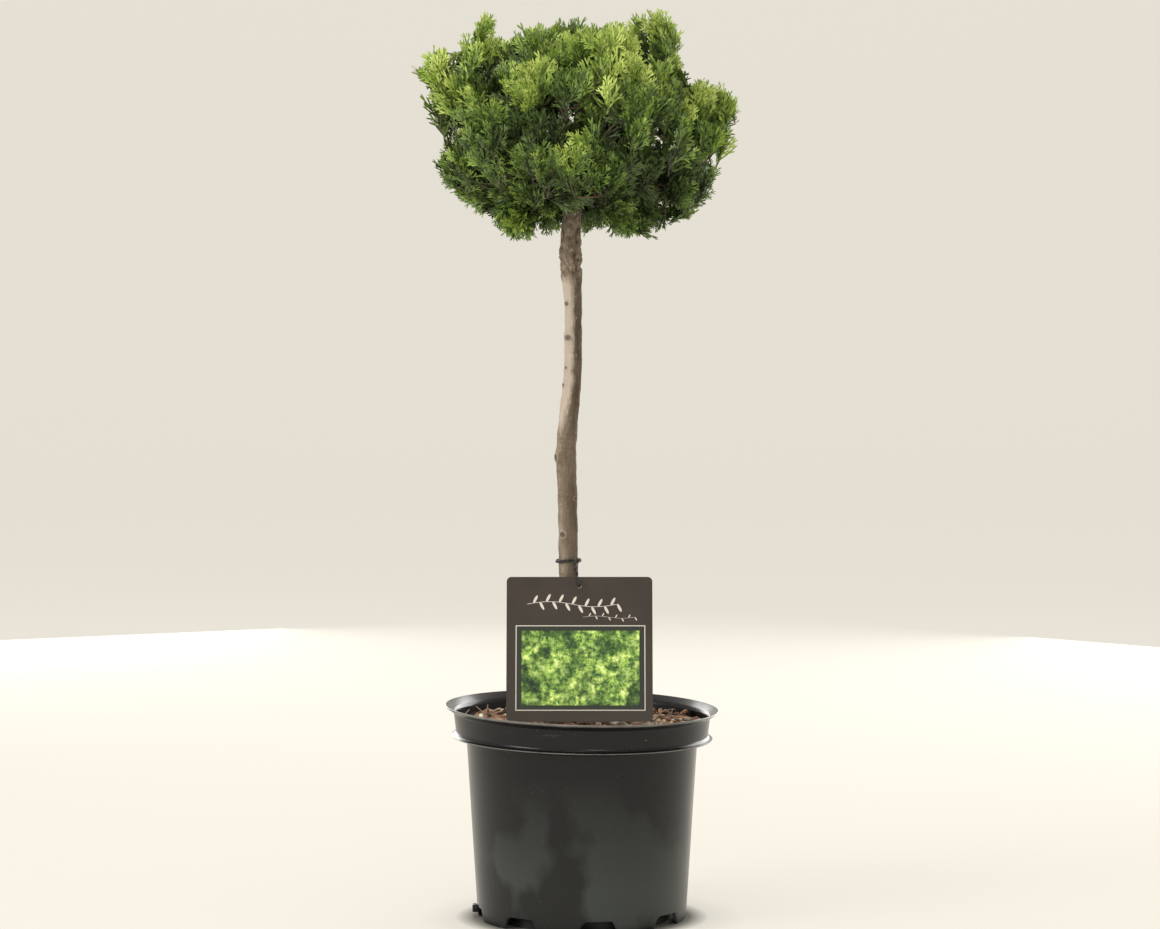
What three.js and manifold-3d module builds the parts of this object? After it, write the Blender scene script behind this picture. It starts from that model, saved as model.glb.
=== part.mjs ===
// Potted dwarf cypress grafted as a standard: a bare S-bent stem carries a loose lollipop of
// foliage masses, and stands in a round nursery pot with a hang tag tied to the stem.
// Millimetres, +Z up, origin at the middle of the pot's flat underside, -Y is the front.

import * as THREE from 'three';
import { mergeVertices } from 'three/addons/utils/BufferGeometryUtils.js';
import Module from 'manifold-3d';

// ---------------------------------------------------------------- driving dimensions

const TOUCH_GAP = 0.35;

const pot = {
  height: 177,
  rimRadius: 115,
  bandTopRadius: 107.4,
  bandFootRadius: 105.3,
  bandLipRadius: 109.5,
  bandFootHeight: 152,
  shoulderRadius: 96.4,
  footRadius: 87,
  wall: 2,
  floorRadius: 74,
  channelHeight: 11,
  mouthDip: 2.8,
  notches: 8,
  notchFirstAngle: -81,
  notchTopWidth: 24,
  notchFootWidth: 31,
  sides: 34,
};

const soil = {
  level: 163,
  shoulder: 150,
  unevenness: 2.4,
  calmRadius: 18,
  fullRadius: 40,
  rings: 4,
};

// Centre line of the stem and leader, from the soil up: x, y, z and radius at each height.
const stemBends = [
  [-10.6, 0.0, soil.level + TOUCH_GAP, 14.5],
  [-10.9, 0.2, 168, 11.6],
  [-11.2, 0.5, 178, 9.5],
  [-11.3, 0.9, 205, 8.5],
  [-11.2, 1.2, 250, 8.2],
  [-11.2, 1.3, 300, 8.1],
  [-11.7, 1.0, 350, 8.1],
  [-13.1, 0.2, 392, 8.4],
  [-9.9, -0.6, 430, 7.8],
  [-7.5, -0.8, 452, 7.3],
  [-7.2, -0.4, 485, 7.2],
  [-7.5, 0.4, 520, 7.4],
  [-8.8, 0.6, 539, 9.2],
  [-9.5, 0.6, 551, 9.9],
  [-9.5, 0.2, 564, 8.3],
  [-8.6, -0.4, 582, 7.9],
  [-6.4, -0.2, 604, 6.6],
  [-3.2, 0.8, 632, 5.0],
  [-3.6, 1.0, 656, 3.4],
  [-2.0, 0.4, 672, 2.4],
];

const stem = { sides: 10, rings: 27, unevenness: 0.03 };

const leader = { low: 596, high: 664 };

const bough = { baseRadius: 3.2, tipRadius: 1.7, sides: 6, segments: 3, rise: 0.16, entryGap: 1.3 };

const foliage = {
  hollow: 26,
  limbRoom: 7,
  seamGap: 1.2,
  blend: 14,
  detail: 3,
  coarseDetail: 2,
  tuftsPerMass: 14,
  tuftHeight: 0.1,
  tipSharpness: 14,
};

// Each mass of the crown: middle, half sizes, and the height at which its bough leaves the
// leader. Tips are tufts that stand out of a mass: [towards x, y, z, share of its size].
const masses = [
  { name: 'upper_left', at: [-94, -4, 694], half: [46, 52, 33], bough: 640,
    tips: [[-1, -0.1, 0.4, 0.07], [-0.5, 0.1, 0.85, 0.1]] },
  { name: 'left_spur', at: [-79, -14, 727], half: [19, 26, 24], coarse: true,
    tips: [[-0.1, 0, 1, 0.17]] },
  { name: 'top_left', at: [-40, -26, 711], half: [42, 52, 37], bough: 652,
    tips: [[-0.2, -0.1, 1, 0.05]] },
  { name: 'top_middle', at: [-2, 0, 717], half: [42, 46, 36], bough: 664 },
  { name: 'top_right', at: [60, -8, 716], half: [28, 46, 38], bough: 656,
    tips: [[0.14, -0.1, 1, 0.07], [-0.4, 0, 1, 0.05]] },
  { name: 'right_shoulder', at: [88, 2, 668], half: [42, 54, 37], bough: 634,
    tips: [[1, -0.2, -0.1, 0.11], [0.7, 0.1, 0.5, 0.05]] },
  { name: 'lower_right', at: [77, -8, 618], half: [43, 50, 36], bough: 610,
    tips: [[0.9, 0.1, -0.1, 0.08]] },
  { name: 'bottom_right', at: [45, -24, 594], half: [37, 46, 28], bough: 602,
    tips: [[0.45, -0.2, -0.9, 0.12]] },
  { name: 'bottom_left', at: [-46, -24, 594], half: [33, 46, 31], bough: 600,
    tips: [[-0.35, -0.1, -1, 0.09]] },
  { name: 'lower_left', at: [-76, -4, 631], half: [47, 54, 46], bough: 618,
    tips: [[-1, -0.1, 0.1, 0.08]] },
  { name: 'front_left', at: [-52, -58, 664], half: [50, 52, 46], bough: 630 },
  { name: 'front_middle', at: [-6, -66, 634], half: [46, 50, 48], bough: 614 },
  { name: 'front_right', at: [44, -60, 664], half: [48, 50, 44], bough: 638 },
  { name: 'front_top', at: [10, -50, 704], half: [42, 46, 40], bough: 660 },
  { name: 'back_left', at: [-58, 56, 670], half: [56, 54, 50], bough: 636 },
  { name: 'back_right', at: [50, 58, 668], half: [56, 52, 50], bough: 644 },
  { name: 'back_top', at: [-4, 46, 714], half: [56, 48, 36], coarse: true, bough: 658 },
  { name: 'back_middle', at: [-4, 68, 644], half: [48, 48, 46], coarse: true, bough: 626 },
  { name: 'back_low', at: [0, 44, 606], half: [58, 54, 38], coarse: true, bough: 606 },
];

const card = {
  width: 121,
  height: 122,
  thickness: 0.8,
  cornerRadius: 4,
  holeRadius: 2.2,
  holeDrop: 8,
  topEdge: [-2, -11, 286],
  leanDegrees: 19,
};

const tie = { loopRadius: 11.2, wireRadius: 0.9, height: 300, sides: 6 };

// ---------------------------------------------------------------- materials

function finish(color, roughness) {
  return new THREE.MeshStandardMaterial({ color, roughness, metalness: 0 });
}

const finishes = {
  pot: () => finish(0x242524, 0.42),
  soil: () => finish(0x5a3f2b, 0.95),
  bark: () => finish(0x75675a, 0.85),
  foliage: () => finish(0x4f7f24, 0.8),
  card: () => finish(0x4b3e34, 0.45),
  tie: () => finish(0x1b1b1b, 0.6),
};

// ---------------------------------------------------------------- shared helpers

const wasm = await Module();
wasm.setup();

function signedVolume(geometry) {
  const place = geometry.attributes.position;
  const corner = [0, 1, 2].map(() => new THREE.Vector3());
  let volume = 0;
  for (let i = 0; i < geometry.index.count; i += 3) {
    corner.forEach((point, k) => point.fromBufferAttribute(place, geometry.index.getX(i + k)));
    volume += corner[0].dot(corner[1].clone().cross(corner[2])) / 6;
  }
  return volume;
}

// Merges shared corners, drops empty triangles and turns the faces outwards.
function closed(geometry) {
  geometry.deleteAttribute('normal');
  geometry.deleteAttribute('uv');
  const merged = mergeVertices(geometry, 1e-3);
  const kept = [];
  for (let i = 0; i < merged.index.count; i += 3) {
    const [a, b, c] = [0, 1, 2].map((k) => merged.index.getX(i + k));
    if (a !== b && b !== c && c !== a) {
      kept.push(a, b, c);
    }
  }
  merged.setIndex(kept);
  if (signedVolume(merged) < 0) {
    merged.setIndex(kept.reverse());
  }
  return merged;
}

function toManifold(geometry) {
  const clean = closed(geometry);
  return new wasm.Manifold(new wasm.Mesh({
    numProp: 3,
    vertProperties: new Float32Array(clean.attributes.position.array),
    triVerts: new Uint32Array(clean.index.array),
  }));
}

function fromManifold(solid) {
  const mesh = solid.getMesh();
  const geometry = new THREE.BufferGeometry();
  geometry.setAttribute('position', new THREE.Float32BufferAttribute(mesh.vertProperties, 3));
  geometry.setIndex(new THREE.Uint32BufferAttribute(mesh.triVerts, 1));
  return geometry;
}

// Moves every corner of a geometry by a function of its place.
function reshape(geometry, move) {
  const place = geometry.attributes.position;
  const point = new THREE.Vector3();
  for (let i = 0; i < place.count; i += 1) {
    point.fromBufferAttribute(place, i);
    move(point);
    place.setXYZ(i, point.x, point.y, point.z);
  }
  return geometry;
}

function turned(profile) {
  const points = profile.map(([radius, height]) => new THREE.Vector2(radius, height));
  return new THREE.LatheGeometry(points, pot.sides).rotateX(Math.PI / 2);
}

// A limb with rings of its own radius along a curve, closed with a flat cap at each end.
function limb(curve, radiusAt, sides, rings) {
  const corners = [];
  const faces = [];
  const across = new THREE.Vector3(1, 0, 0);
  for (let ring = 0; ring <= rings; ring += 1) {
    const t = ring / rings;
    const along = curve.getTangentAt(t);
    across.addScaledVector(along, -across.dot(along)).normalize();
    const up = along.clone().cross(across);
    for (let side = 0; side < sides; side += 1) {
      const angle = (side / sides) * Math.PI * 2;
      const radius = radiusAt(t, angle);
      const point = curve.getPointAt(t)
        .addScaledVector(across, radius * Math.cos(angle))
        .addScaledVector(up, radius * Math.sin(angle));
      corners.push(point.x, point.y, point.z);
      if (ring < rings) {
        const here = ring * sides + side;
        const next = ring * sides + ((side + 1) % sides);
        faces.push(here, next, here + sides, next, next + sides, here + sides);
      }
    }
  }
  const last = rings * sides;
  for (let side = 1; side < sides - 1; side += 1) {
    faces.push(0, side + 1, side, last, last + side, last + side + 1);
  }
  const geometry = new THREE.BufferGeometry();
  geometry.setAttribute('position', new THREE.Float32BufferAttribute(corners, 3));
  geometry.setIndex(faces);
  return geometry;
}

// A repeatable stream of numbers from 0 to 1.
function seeded(seed) {
  let state = seed;
  return () => {
    state = (Math.imul(state, 1664525) + 1013904223) >>> 0;
    return state / 4294967296;
  };
}

function mouthDip(point) {
  return (-pot.mouthDip * point.x * Math.max(point.z, 0) ** 2) / (pot.rimRadius * pot.height ** 2);
}

// ---------------------------------------------------------------- pot

function potProfile() {
  const inner = pot.footRadius - pot.wall;
  const channelRoof = pot.channelHeight + pot.wall;
  return [
    [0, 0],
    [pot.floorRadius, 0],
    [pot.floorRadius + 1.2, pot.channelHeight],
    [inner - 1.2, pot.channelHeight],
    [inner - 0.4, 0],
    [pot.footRadius - 1.2, 0],
    [pot.footRadius, 1.6],
    [pot.shoulderRadius, pot.bandFootHeight - 3],
    [pot.bandFootRadius - 0.6, pot.bandFootHeight - 1],
    [pot.bandLipRadius, pot.bandFootHeight - 0.4],
    [pot.bandLipRadius, pot.bandFootHeight + 1],
    [pot.bandFootRadius, pot.bandFootHeight + 2.6],
    [pot.bandTopRadius, pot.height - 3.6],
    [pot.rimRadius, pot.height - 1.8],
    [pot.rimRadius, pot.height],
    [pot.bandTopRadius - pot.wall, pot.height - 0.8],
    [pot.bandFootRadius - pot.wall, pot.bandFootHeight + 1.8],
    [pot.shoulderRadius - pot.wall, pot.bandFootHeight - 0.6],
    [inner, channelRoof],
    [pot.floorRadius - pot.wall, channelRoof],
    [pot.floorRadius - pot.wall - 1, pot.wall],
    [0, pot.wall],
  ];
}

// One drain notch: a wedge that opens the foot ring under the pot's edge.
function notch(angle) {
  const outline = new THREE.Shape();
  outline.moveTo(-pot.notchFootWidth / 2, -1);
  outline.lineTo(pot.notchFootWidth / 2, -1);
  outline.lineTo(pot.notchTopWidth / 2, pot.channelHeight - 0.1);
  outline.lineTo(-pot.notchTopWidth / 2, pot.channelHeight - 0.1);
  outline.closePath();
  const reach = pot.footRadius - pot.floorRadius;
  const wedge = new THREE.ExtrudeGeometry(outline, { depth: reach, bevelEnabled: false });
  wedge.rotateX(Math.PI / 2);
  wedge.translate(0, -pot.floorRadius - 4, 0);
  wedge.rotateZ(angle + Math.PI / 2);
  return wedge;
}

// A small moulded lug low on the left side of the pot.
function lug() {
  const block = new THREE.BoxGeometry(6.5, 9, 6.5);
  block.translate(-pot.footRadius - 1.6, 0, 7.4);
  return block;
}

function potGeometry() {
  let solid = toManifold(turned(potProfile()));
  for (let i = 0; i < pot.notches; i += 1) {
    const angle = THREE.MathUtils.degToRad(pot.notchFirstAngle + (i * 360) / pot.notches);
    solid = solid.subtract(toManifold(notch(angle)));
  }
  solid = solid.add(toManifold(lug()));
  return reshape(fromManifold(solid), (point) => {
    point.z += mouthDip(point);
  });
}

// ---------------------------------------------------------------- root ball and mulch

// The root ball below the pot's shoulder.
function rootBallGeometry() {
  const clear = pot.wall + TOUCH_GAP;
  const channelRoof = pot.channelHeight + clear;
  const profile = [
    [0, clear],
    [pot.floorRadius - clear - 1.4, clear],
    [pot.floorRadius - clear - 0.2, channelRoof],
    [pot.footRadius - clear, channelRoof],
    [pot.shoulderRadius - clear, soil.shoulder],
    [0, soil.shoulder],
  ];
  return reshape(turned(profile), (point) => {
    point.z += mouthDip(point);
  });
}

// The layer of mulch inside the rim band, uneven on top and calm round the stem's foot.
function mulchGeometry() {
  const edge = pot.bandFootRadius + 1 - pot.wall - TOUCH_GAP;
  const profile = [
    [0, soil.shoulder + TOUCH_GAP],
    [pot.shoulderRadius - pot.wall - TOUCH_GAP, soil.shoulder + TOUCH_GAP],
    [pot.shoulderRadius - pot.wall - TOUCH_GAP, pot.bandFootHeight - 0.2],
    [pot.bandFootRadius - pot.wall - TOUCH_GAP, pot.bandFootHeight + 2.4],
    [edge, soil.level - 1.5],
  ];
  for (let ring = soil.rings; ring >= 0; ring -= 1) {
    profile.push([(edge - 2) * (ring / soil.rings), soil.level]);
  }
  return reshape(turned(profile), (point) => {
    const onTop = point.z > soil.level - 0.1;
    const fromStem = Math.hypot(point.x - stemBends[0][0], point.y);
    const share = onTop ? THREE.MathUtils.smoothstep(fromStem, soil.calmRadius, soil.fullRadius) : 1;
    const wave = Math.sin(point.x / 13 + 0.6) * Math.cos(point.y / 11) + Math.sin(point.y / 19);
    const swell = onTop ? soil.unevenness * 0.5 * wave : 0;
    point.z += share * (mouthDip(point) + swell);
  });
}

// ---------------------------------------------------------------- stem and leader

const stemCurve = new THREE.CatmullRomCurve3(
  stemBends.map(([x, y, z]) => new THREE.Vector3(x, y, z)),
);

function stemRadius(height) {
  let i = 0;
  while (i < stemBends.length - 2 && stemBends[i + 1][2] < height) {
    i += 1;
  }
  const [low, high] = [stemBends[i], stemBends[i + 1]];
  const share = THREE.MathUtils.smoothstep(height, low[2], high[2]);
  return THREE.MathUtils.lerp(low[3], high[3], share);
}

function stemAt(height) {
  let [low, high] = [0, 1];
  for (let step = 0; step < 30; step += 1) {
    const middle = (low + high) / 2;
    [low, high] = stemCurve.getPoint(middle).z < height ? [middle, high] : [low, middle];
  }
  return stemCurve.getPoint((low + high) / 2);
}

function stemGeometry() {
  const geometry = limb(stemCurve, (t, angle) => {
    const height = stemCurve.getPointAt(t).z;
    const wave = Math.sin(3 * angle + height / 31) * Math.cos(2 * angle - height / 47);
    return stemRadius(height) * (1 + stem.unevenness * wave);
  }, stem.sides, stem.rings);
  return reshape(geometry, (point) => {
    point.z = Math.max(point.z, stemBends[0][2]);
  });
}

// ---------------------------------------------------------------- foliage masses

// Half size of a mass measured along a direction.
function reach(mass, direction) {
  return Math.hypot(...mass.half.map((size, axis) => size * direction.getComponent(axis)));
}

// The flat limit that keeps a mass a given distance away from a point.
function limitTowards(middle, point, clearance) {
  const towards = point.clone().sub(middle);
  const distance = towards.length() - clearance;
  return { towards: towards.normalize(), distance };
}

// Flat limits of a mass: its share of the way to every neighbour, clear of the neighbours'
// boughs, and clear of the hollow round the leader.
function limits(mass) {
  const middle = new THREE.Vector3(...mass.at);
  const heart = stemAt(THREE.MathUtils.clamp(middle.z, leader.low, leader.high));
  const planes = [limitTowards(middle, heart, foliage.hollow)];
  for (const other of masses.filter((candidate) => candidate !== mass)) {
    const neighbour = new THREE.Vector3(...other.at);
    const towards = neighbour.clone().sub(middle).normalize();
    const [own, theirs] = [reach(mass, towards), reach(other, towards)];
    const remainder = (middle.distanceTo(neighbour) * theirs) / (own + theirs);
    planes.push(limitTowards(middle, neighbour, remainder + foliage.seamGap / 2));
    if (other.bough) {
      const root = stemAt(other.bough);
      const run = new THREE.Line3(root, root.clone().lerp(neighbour, 0.6));
      const nearest = run.closestPointToPoint(middle, true, new THREE.Vector3());
      planes.push(limitTowards(middle, nearest, foliage.limbRoom));
    }
  }
  return planes;
}

// Tufts and dents that make a mass uneven, the same on every run.
function tufts(mass, seed) {
  const random = seeded(seed);
  const list = (mass.tips ?? []).map(([x, y, z, height]) => (
    { towards: new THREE.Vector3(x, y, z).normalize(), height, sharpness: foliage.tipSharpness }
  ));
  for (let i = 0; i < foliage.tuftsPerMass; i += 1) {
    const towards = new THREE.Vector3(random() - 0.5, random() - 0.5, random() - 0.5).normalize();
    const height = foliage.tuftHeight * (2 * random() - 1);
    list.push({ towards, height, sharpness: 8 + 14 * random() });
  }
  return list;
}

function massShape(mass, index) {
  const planes = limits(mass);
  const bumps = tufts(mass, 7919 * (index + 3));
  const [a, b, c] = mass.half;
  return (direction) => {
    let size = 1 / Math.hypot(direction.x / a, direction.y / b, direction.z / c);
    for (const { towards, height, sharpness } of bumps) {
      size *= 1 + height * Math.exp(sharpness * (direction.dot(towards) - 1));
    }
    let crowding = size ** -foliage.blend;
    for (const { towards, distance } of planes) {
      const facing = direction.dot(towards);
      if (facing > 0.05) {
        crowding += (distance / facing) ** -foliage.blend;
      }
    }
    return crowding ** (-1 / foliage.blend);
  };
}

function massGeometry(mass, shape) {
  const detail = mass.coarse ? foliage.coarseDetail : foliage.detail;
  const ball = new THREE.IcosahedronGeometry(1, detail);
  return reshape(closed(ball), (point) => {
    point.normalize();
    point.multiplyScalar(shape(point));
    point.add(new THREE.Vector3(...mass.at));
  });
}

// ---------------------------------------------------------------- boughs

// A bough leaves the leader's side and stops where it enters its mass.
function boughGeometry(mass, shape) {
  const middle = new THREE.Vector3(...mass.at);
  const root = stemAt(mass.bough);
  const outwards = middle.clone().sub(root).normalize();
  const slope = Math.hypot(outwards.x, outwards.y);
  const clearance = (stemRadius(mass.bough) + TOUCH_GAP) / Math.max(slope, 0.35);
  const start = root.clone().addScaledVector(outwards, clearance + bough.baseRadius * 0.9);
  const end = middle.clone()
    .addScaledVector(outwards, -shape(outwards.clone().negate()) - bough.entryGap);
  const bend = start.clone().lerp(end, 0.5);
  bend.z -= bough.rise * start.distanceTo(end) * slope * 0.5;
  const curve = new THREE.QuadraticBezierCurve3(start, bend, end);
  const taper = (t) => THREE.MathUtils.lerp(bough.baseRadius, bough.tipRadius, Math.sqrt(t));
  return limb(curve, taper, bough.sides, bough.segments);
}

// ---------------------------------------------------------------- hang tag

function cardGeometry() {
  const { width, height, cornerRadius: r } = card;
  const outline = new THREE.Shape();
  outline.moveTo(-width / 2 + r, -height);
  outline.lineTo(width / 2 - r, -height);
  outline.absarc(width / 2 - r, -height + r, r, -Math.PI / 2, 0);
  outline.absarc(width / 2 - r, -r, r, 0, Math.PI / 2);
  outline.absarc(-width / 2 + r, -r, r, Math.PI / 2, Math.PI);
  outline.absarc(-width / 2 + r, -height + r, r, Math.PI, Math.PI * 1.5);
  const hole = new THREE.Path();
  hole.absarc(0, -card.holeDrop, card.holeRadius, 0, Math.PI * 2, true);
  outline.holes.push(hole);
  const options = { depth: card.thickness, bevelEnabled: false, curveSegments: 3 };
  return new THREE.ExtrudeGeometry(outline, options);
}

function tieGeometry() {
  const stemHere = stemAt(tie.height);
  const loop = new THREE.TorusGeometry(tie.loopRadius, tie.wireRadius, tie.sides, 16);
  loop.translate(stemHere.x, stemHere.y, tie.height);
  const [x, y, z] = card.topEdge;
  const hole = new THREE.Vector3(x, y, z - card.holeDrop);
  const tail = new THREE.CatmullRomCurve3([
    new THREE.Vector3(stemHere.x + 4.5, stemHere.y - tie.loopRadius + 0.9, tie.height),
    new THREE.Vector3(x - 2.6, y - 3.4, z + 5),
    new THREE.Vector3(x - 1.2, y - 4.6, z - 2),
    hole.clone().add(new THREE.Vector3(0, -5.4, 0.9)),
    hole.clone().add(new THREE.Vector3(0, -2.8, -0.2)),
    hole.clone().add(new THREE.Vector3(0, -0.2, 0.6)),
  ]);
  const wire = limb(tail, () => tie.wireRadius, tie.sides, 9);
  return fromManifold(toManifold(loop).add(toManifold(wire)));
}

// ---------------------------------------------------------------- assembly

const group = new THREE.Group();

function place(name, geometry, material) {
  const mesh = new THREE.Mesh(closed(geometry), material);
  mesh.name = name;
  group.add(mesh);
  return mesh;
}

place('pot', potGeometry(), finishes.pot());
place('root_ball', rootBallGeometry(), finishes.soil());
place('mulch', mulchGeometry(), finishes.soil());
place('trunk', stemGeometry(), finishes.bark());
masses.forEach((mass, index) => {
  const shape = massShape(mass, index);
  place(`mass_${mass.name}`, massGeometry(mass, shape), finishes.foliage());
  if (mass.bough) {
    place(`bough_${mass.name}`, boughGeometry(mass, shape), finishes.bark());
  }
});

const tag = place('label_card', cardGeometry(), finishes.card());
tag.position.set(...card.topEdge);
tag.rotation.x = Math.PI / 2 - THREE.MathUtils.degToRad(card.leanDegrees);
place('label_tie', tieGeometry(), finishes.tie());

export default group;
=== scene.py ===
import math

import bmesh
import bpy
import numpy as np
from bpy.props import FloatProperty, FloatVectorProperty, IntProperty, PointerProperty
from mathutils import Matrix, Vector, noise
from mathutils.bvhtree import BVHTree


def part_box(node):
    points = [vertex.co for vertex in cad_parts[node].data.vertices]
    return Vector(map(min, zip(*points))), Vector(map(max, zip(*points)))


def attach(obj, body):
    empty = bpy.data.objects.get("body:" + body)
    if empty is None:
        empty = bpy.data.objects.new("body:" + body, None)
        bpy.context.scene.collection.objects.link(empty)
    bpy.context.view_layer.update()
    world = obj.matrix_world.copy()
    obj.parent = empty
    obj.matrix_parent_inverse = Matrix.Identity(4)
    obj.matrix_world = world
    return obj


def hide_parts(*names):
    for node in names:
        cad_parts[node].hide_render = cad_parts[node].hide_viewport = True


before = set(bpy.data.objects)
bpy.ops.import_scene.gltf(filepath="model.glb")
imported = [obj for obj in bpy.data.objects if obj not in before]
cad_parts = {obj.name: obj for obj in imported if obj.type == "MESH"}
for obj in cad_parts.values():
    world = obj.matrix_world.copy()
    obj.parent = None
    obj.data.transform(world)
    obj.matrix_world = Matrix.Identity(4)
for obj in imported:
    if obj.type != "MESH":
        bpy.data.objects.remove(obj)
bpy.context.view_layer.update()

bl_info = {
    "name": "Potted standard conifer",
    "version": (1, 0, 0),
    "blender": (4, 5, 0),
    "location": "3D View > Sidebar > Topiary",
    "description": "Builds a dwarf conifer standard in its nursery pot round a fixed frame",
    "category": "Add Mesh",
}

BODY = "root"
UP = Vector((0, 0, 1))
MM = 0.001
MASSES = sorted(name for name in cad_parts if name.startswith("mass_"))
BOUGHS = sorted(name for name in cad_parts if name.startswith("bough_"))


# ---------------------------------------------------------------- measuring the frame


def cad_points(node):
    """All corners of a frame node, as an array."""
    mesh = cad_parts[node].data
    points = np.empty(len(mesh.vertices) * 3)
    mesh.vertices.foreach_get("co", points)
    return points.reshape(-1, 3)


def cad_tree(nodes):
    """One ray-casting tree over several frame nodes, and the node that each face is on."""
    points, faces, owners = [], [], []
    for node in nodes:
        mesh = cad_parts[node].data
        start = len(points)
        points += [v.co.copy() for v in mesh.vertices]
        faces += [[start + i for i in p.vertices] for p in mesh.polygons]
        owners += [node] * len(mesh.polygons)
    return BVHTree.FromPolygons(points, faces), owners


def sections(node, along, count, inset=0.5 * MM):
    """Middle and mean radius of a limb's cuts square to a direction, from end to end."""
    along = Vector(along).normalized()
    reach = cad_points(node) @ np.array(along)
    whole = bmesh.new()
    whole.from_mesh(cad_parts[node].data)
    bmesh.ops.remove_doubles(whole, verts=whole.verts, dist=1e-6)
    rows = []
    for place in np.linspace(reach.min() + inset, reach.max() - inset, count):
        bm = whole.copy()
        geometry = bm.verts[:] + bm.edges[:] + bm.faces[:]
        cut = bmesh.ops.bisect_plane(
            bm, geom=geometry, plane_co=along * place, plane_no=along
        )["geom_cut"]
        ring = np.array([v.co for v in cut if isinstance(v, bmesh.types.BMVert)])
        middle = (ring.max(0) + ring.min(0)) / 2
        rows.append([*middle, np.linalg.norm(ring - middle, axis=1).mean()])
        bm.free()
    whole.free()
    return np.array(rows)


def pot_mouth():
    """Rim radius, height of the mouth's middle, and how far its right side dips."""
    points = cad_points("pot")
    radius = points[:, 0].max()
    right = points[points[:, 0] > 0.99 * radius][:, 2].max()
    left = points[points[:, 0] < -0.99 * radius][:, 2].max()
    return radius, (left + right) / 2, (left - right) / 2


RIM_RADIUS, POT_HEIGHT, MOUTH_DIP = pot_mouth()
STEM_ROWS = sections("trunk", UP, 64)
SOIL_LEVEL = float(cad_points("trunk")[:, 2].min())
STEM_FOOT = Vector((STEM_ROWS[0, 0], STEM_ROWS[0, 1], SOIL_LEVEL))


# ---------------------------------------------------------------- settings


class PotSettings(bpy.types.PropertyGroup):
    """Sizes and colours of the nursery pot."""

    rim_radius: FloatProperty(
        name="Rim radius", description="Outer radius of the rim flange",
        default=RIM_RADIUS, unit="LENGTH",
    )
    height: FloatProperty(
        name="Height", description="Height of the mouth's middle",
        default=POT_HEIGHT, unit="LENGTH",
    )
    wall: FloatProperty(
        name="Wall", description="Thickness of the moulded wall",
        default=1.6 * MM, unit="LENGTH",
    )
    band_height: FloatProperty(
        name="Band height", description="Height of the straight band under the rim",
        default=25 * MM, unit="LENGTH",
    )
    steps: IntProperty(
        name="Steps", description="Faces round the pot", default=176,
    )
    colour: FloatVectorProperty(
        name="Plastic", description="Colour of the plastic",
        default=(0.0060, 0.0058, 0.0060), size=3, subtype="COLOR",
    )
    # Colour of the painted reflection in patches low on the pot.
    painted_reflection: FloatVectorProperty(
        name="Reflection", description="Colour of the thin film low on the pot",
        default=(0.036, 0.041, 0.037), size=3, subtype="COLOR",
    )


class StemSettings(bpy.types.PropertyGroup):
    """Detail and colours of the stem, leader, boughs and twigs."""

    sides: IntProperty(name="Sides", description="Faces round the stem", default=72)
    ring_step: FloatProperty(
        name="Ring step", description="Height of one ring of faces",
        default=1.1 * MM, unit="LENGTH",
    )
    fissure: FloatProperty(
        name="Fissures", description="Depth of the bark's fissures",
        default=0.45 * MM, unit="LENGTH",
    )
    bark: FloatVectorProperty(
        name="Bark", description="Main colour of the bark",
        default=(0.120, 0.088, 0.056), size=3, subtype="COLOR",
    )
    pale_bark: FloatVectorProperty(
        name="Pale bark", description="Colour of the weathered bark",
        default=(0.330, 0.272, 0.205), size=3, subtype="COLOR",
    )
    scion_bark: FloatVectorProperty(
        name="Scion bark", description="Colour of the bark above the graft",
        default=(0.150, 0.108, 0.066), size=3, subtype="COLOR",
    )


class FoliageSettings(bpy.types.PropertyGroup):
    """Sizes, density and tints of the foliage."""

    seed: IntProperty(name="Seed", description="Seed of the branching", default=11)
    spray_length: FloatProperty(
        name="Spray length", description="Length of one flat spray as drawn",
        default=26 * MM, unit="LENGTH",
    )
    plume_length: FloatProperty(
        name="Plume length", description="Length of one twig's plume of sprays",
        default=34 * MM, unit="LENGTH",
    )
    blade_width: FloatProperty(
        name="Blade width", description="Width of one scaly branchlet",
        default=1.65 * MM, unit="LENGTH",
    )
    twig_spacing: FloatProperty(
        name="Twig spacing", description="Least distance between plumes at the surface",
        default=15 * MM, unit="LENGTH",
    )
    tries: IntProperty(
        name="Tries", description="Places tried when the twig ends are spread", default=7000,
    )
    sprays_per_twig: IntProperty(
        name="Sprays per twig", description="Sprays on the last stretch of each twig", default=12,
    )
    inner_sprays: IntProperty(
        name="Inner sprays", description="Shaded sprays at each joint inside", default=2,
    )
    # The darkest tint is the oldest foliage's colour and is also painted shade deep inside the crown.
    shade: FloatVectorProperty(
        name="Shade", description="Oldest foliage, deep inside",
        default=(0.016, 0.018, 0.009), size=3, subtype="COLOR",
    )
    deep: FloatVectorProperty(
        name="Deep", description="Dark inner foliage",
        default=(0.036, 0.053, 0.016), size=3, subtype="COLOR",
    )
    mature: FloatVectorProperty(
        name="Mature", description="Mature foliage",
        default=(0.075, 0.120, 0.026), size=3, subtype="COLOR",
    )
    fresh: FloatVectorProperty(
        name="Fresh", description="Fresh green foliage",
        default=(0.150, 0.235, 0.040), size=3, subtype="COLOR",
    )
    lime: FloatVectorProperty(
        name="Lime", description="Lime green foliage",
        default=(0.285, 0.395, 0.062), size=3, subtype="COLOR",
    )
    tip: FloatVectorProperty(
        name="Tip", description="Palest new tips",
        default=(0.460, 0.550, 0.125), size=3, subtype="COLOR",
    )


class MulchSettings(bpy.types.PropertyGroup):
    """Bark mulch in the pot's mouth."""

    chips: IntProperty(name="Chips", description="Number of bark chips", default=1100)
    fibres: IntProperty(name="Fibres", description="Number of loose fibres", default=46)
    soil: FloatVectorProperty(
        name="Peat", description="Colour of the peat between the chips",
        default=(0.045, 0.027, 0.016), size=3, subtype="COLOR",
    )


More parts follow.
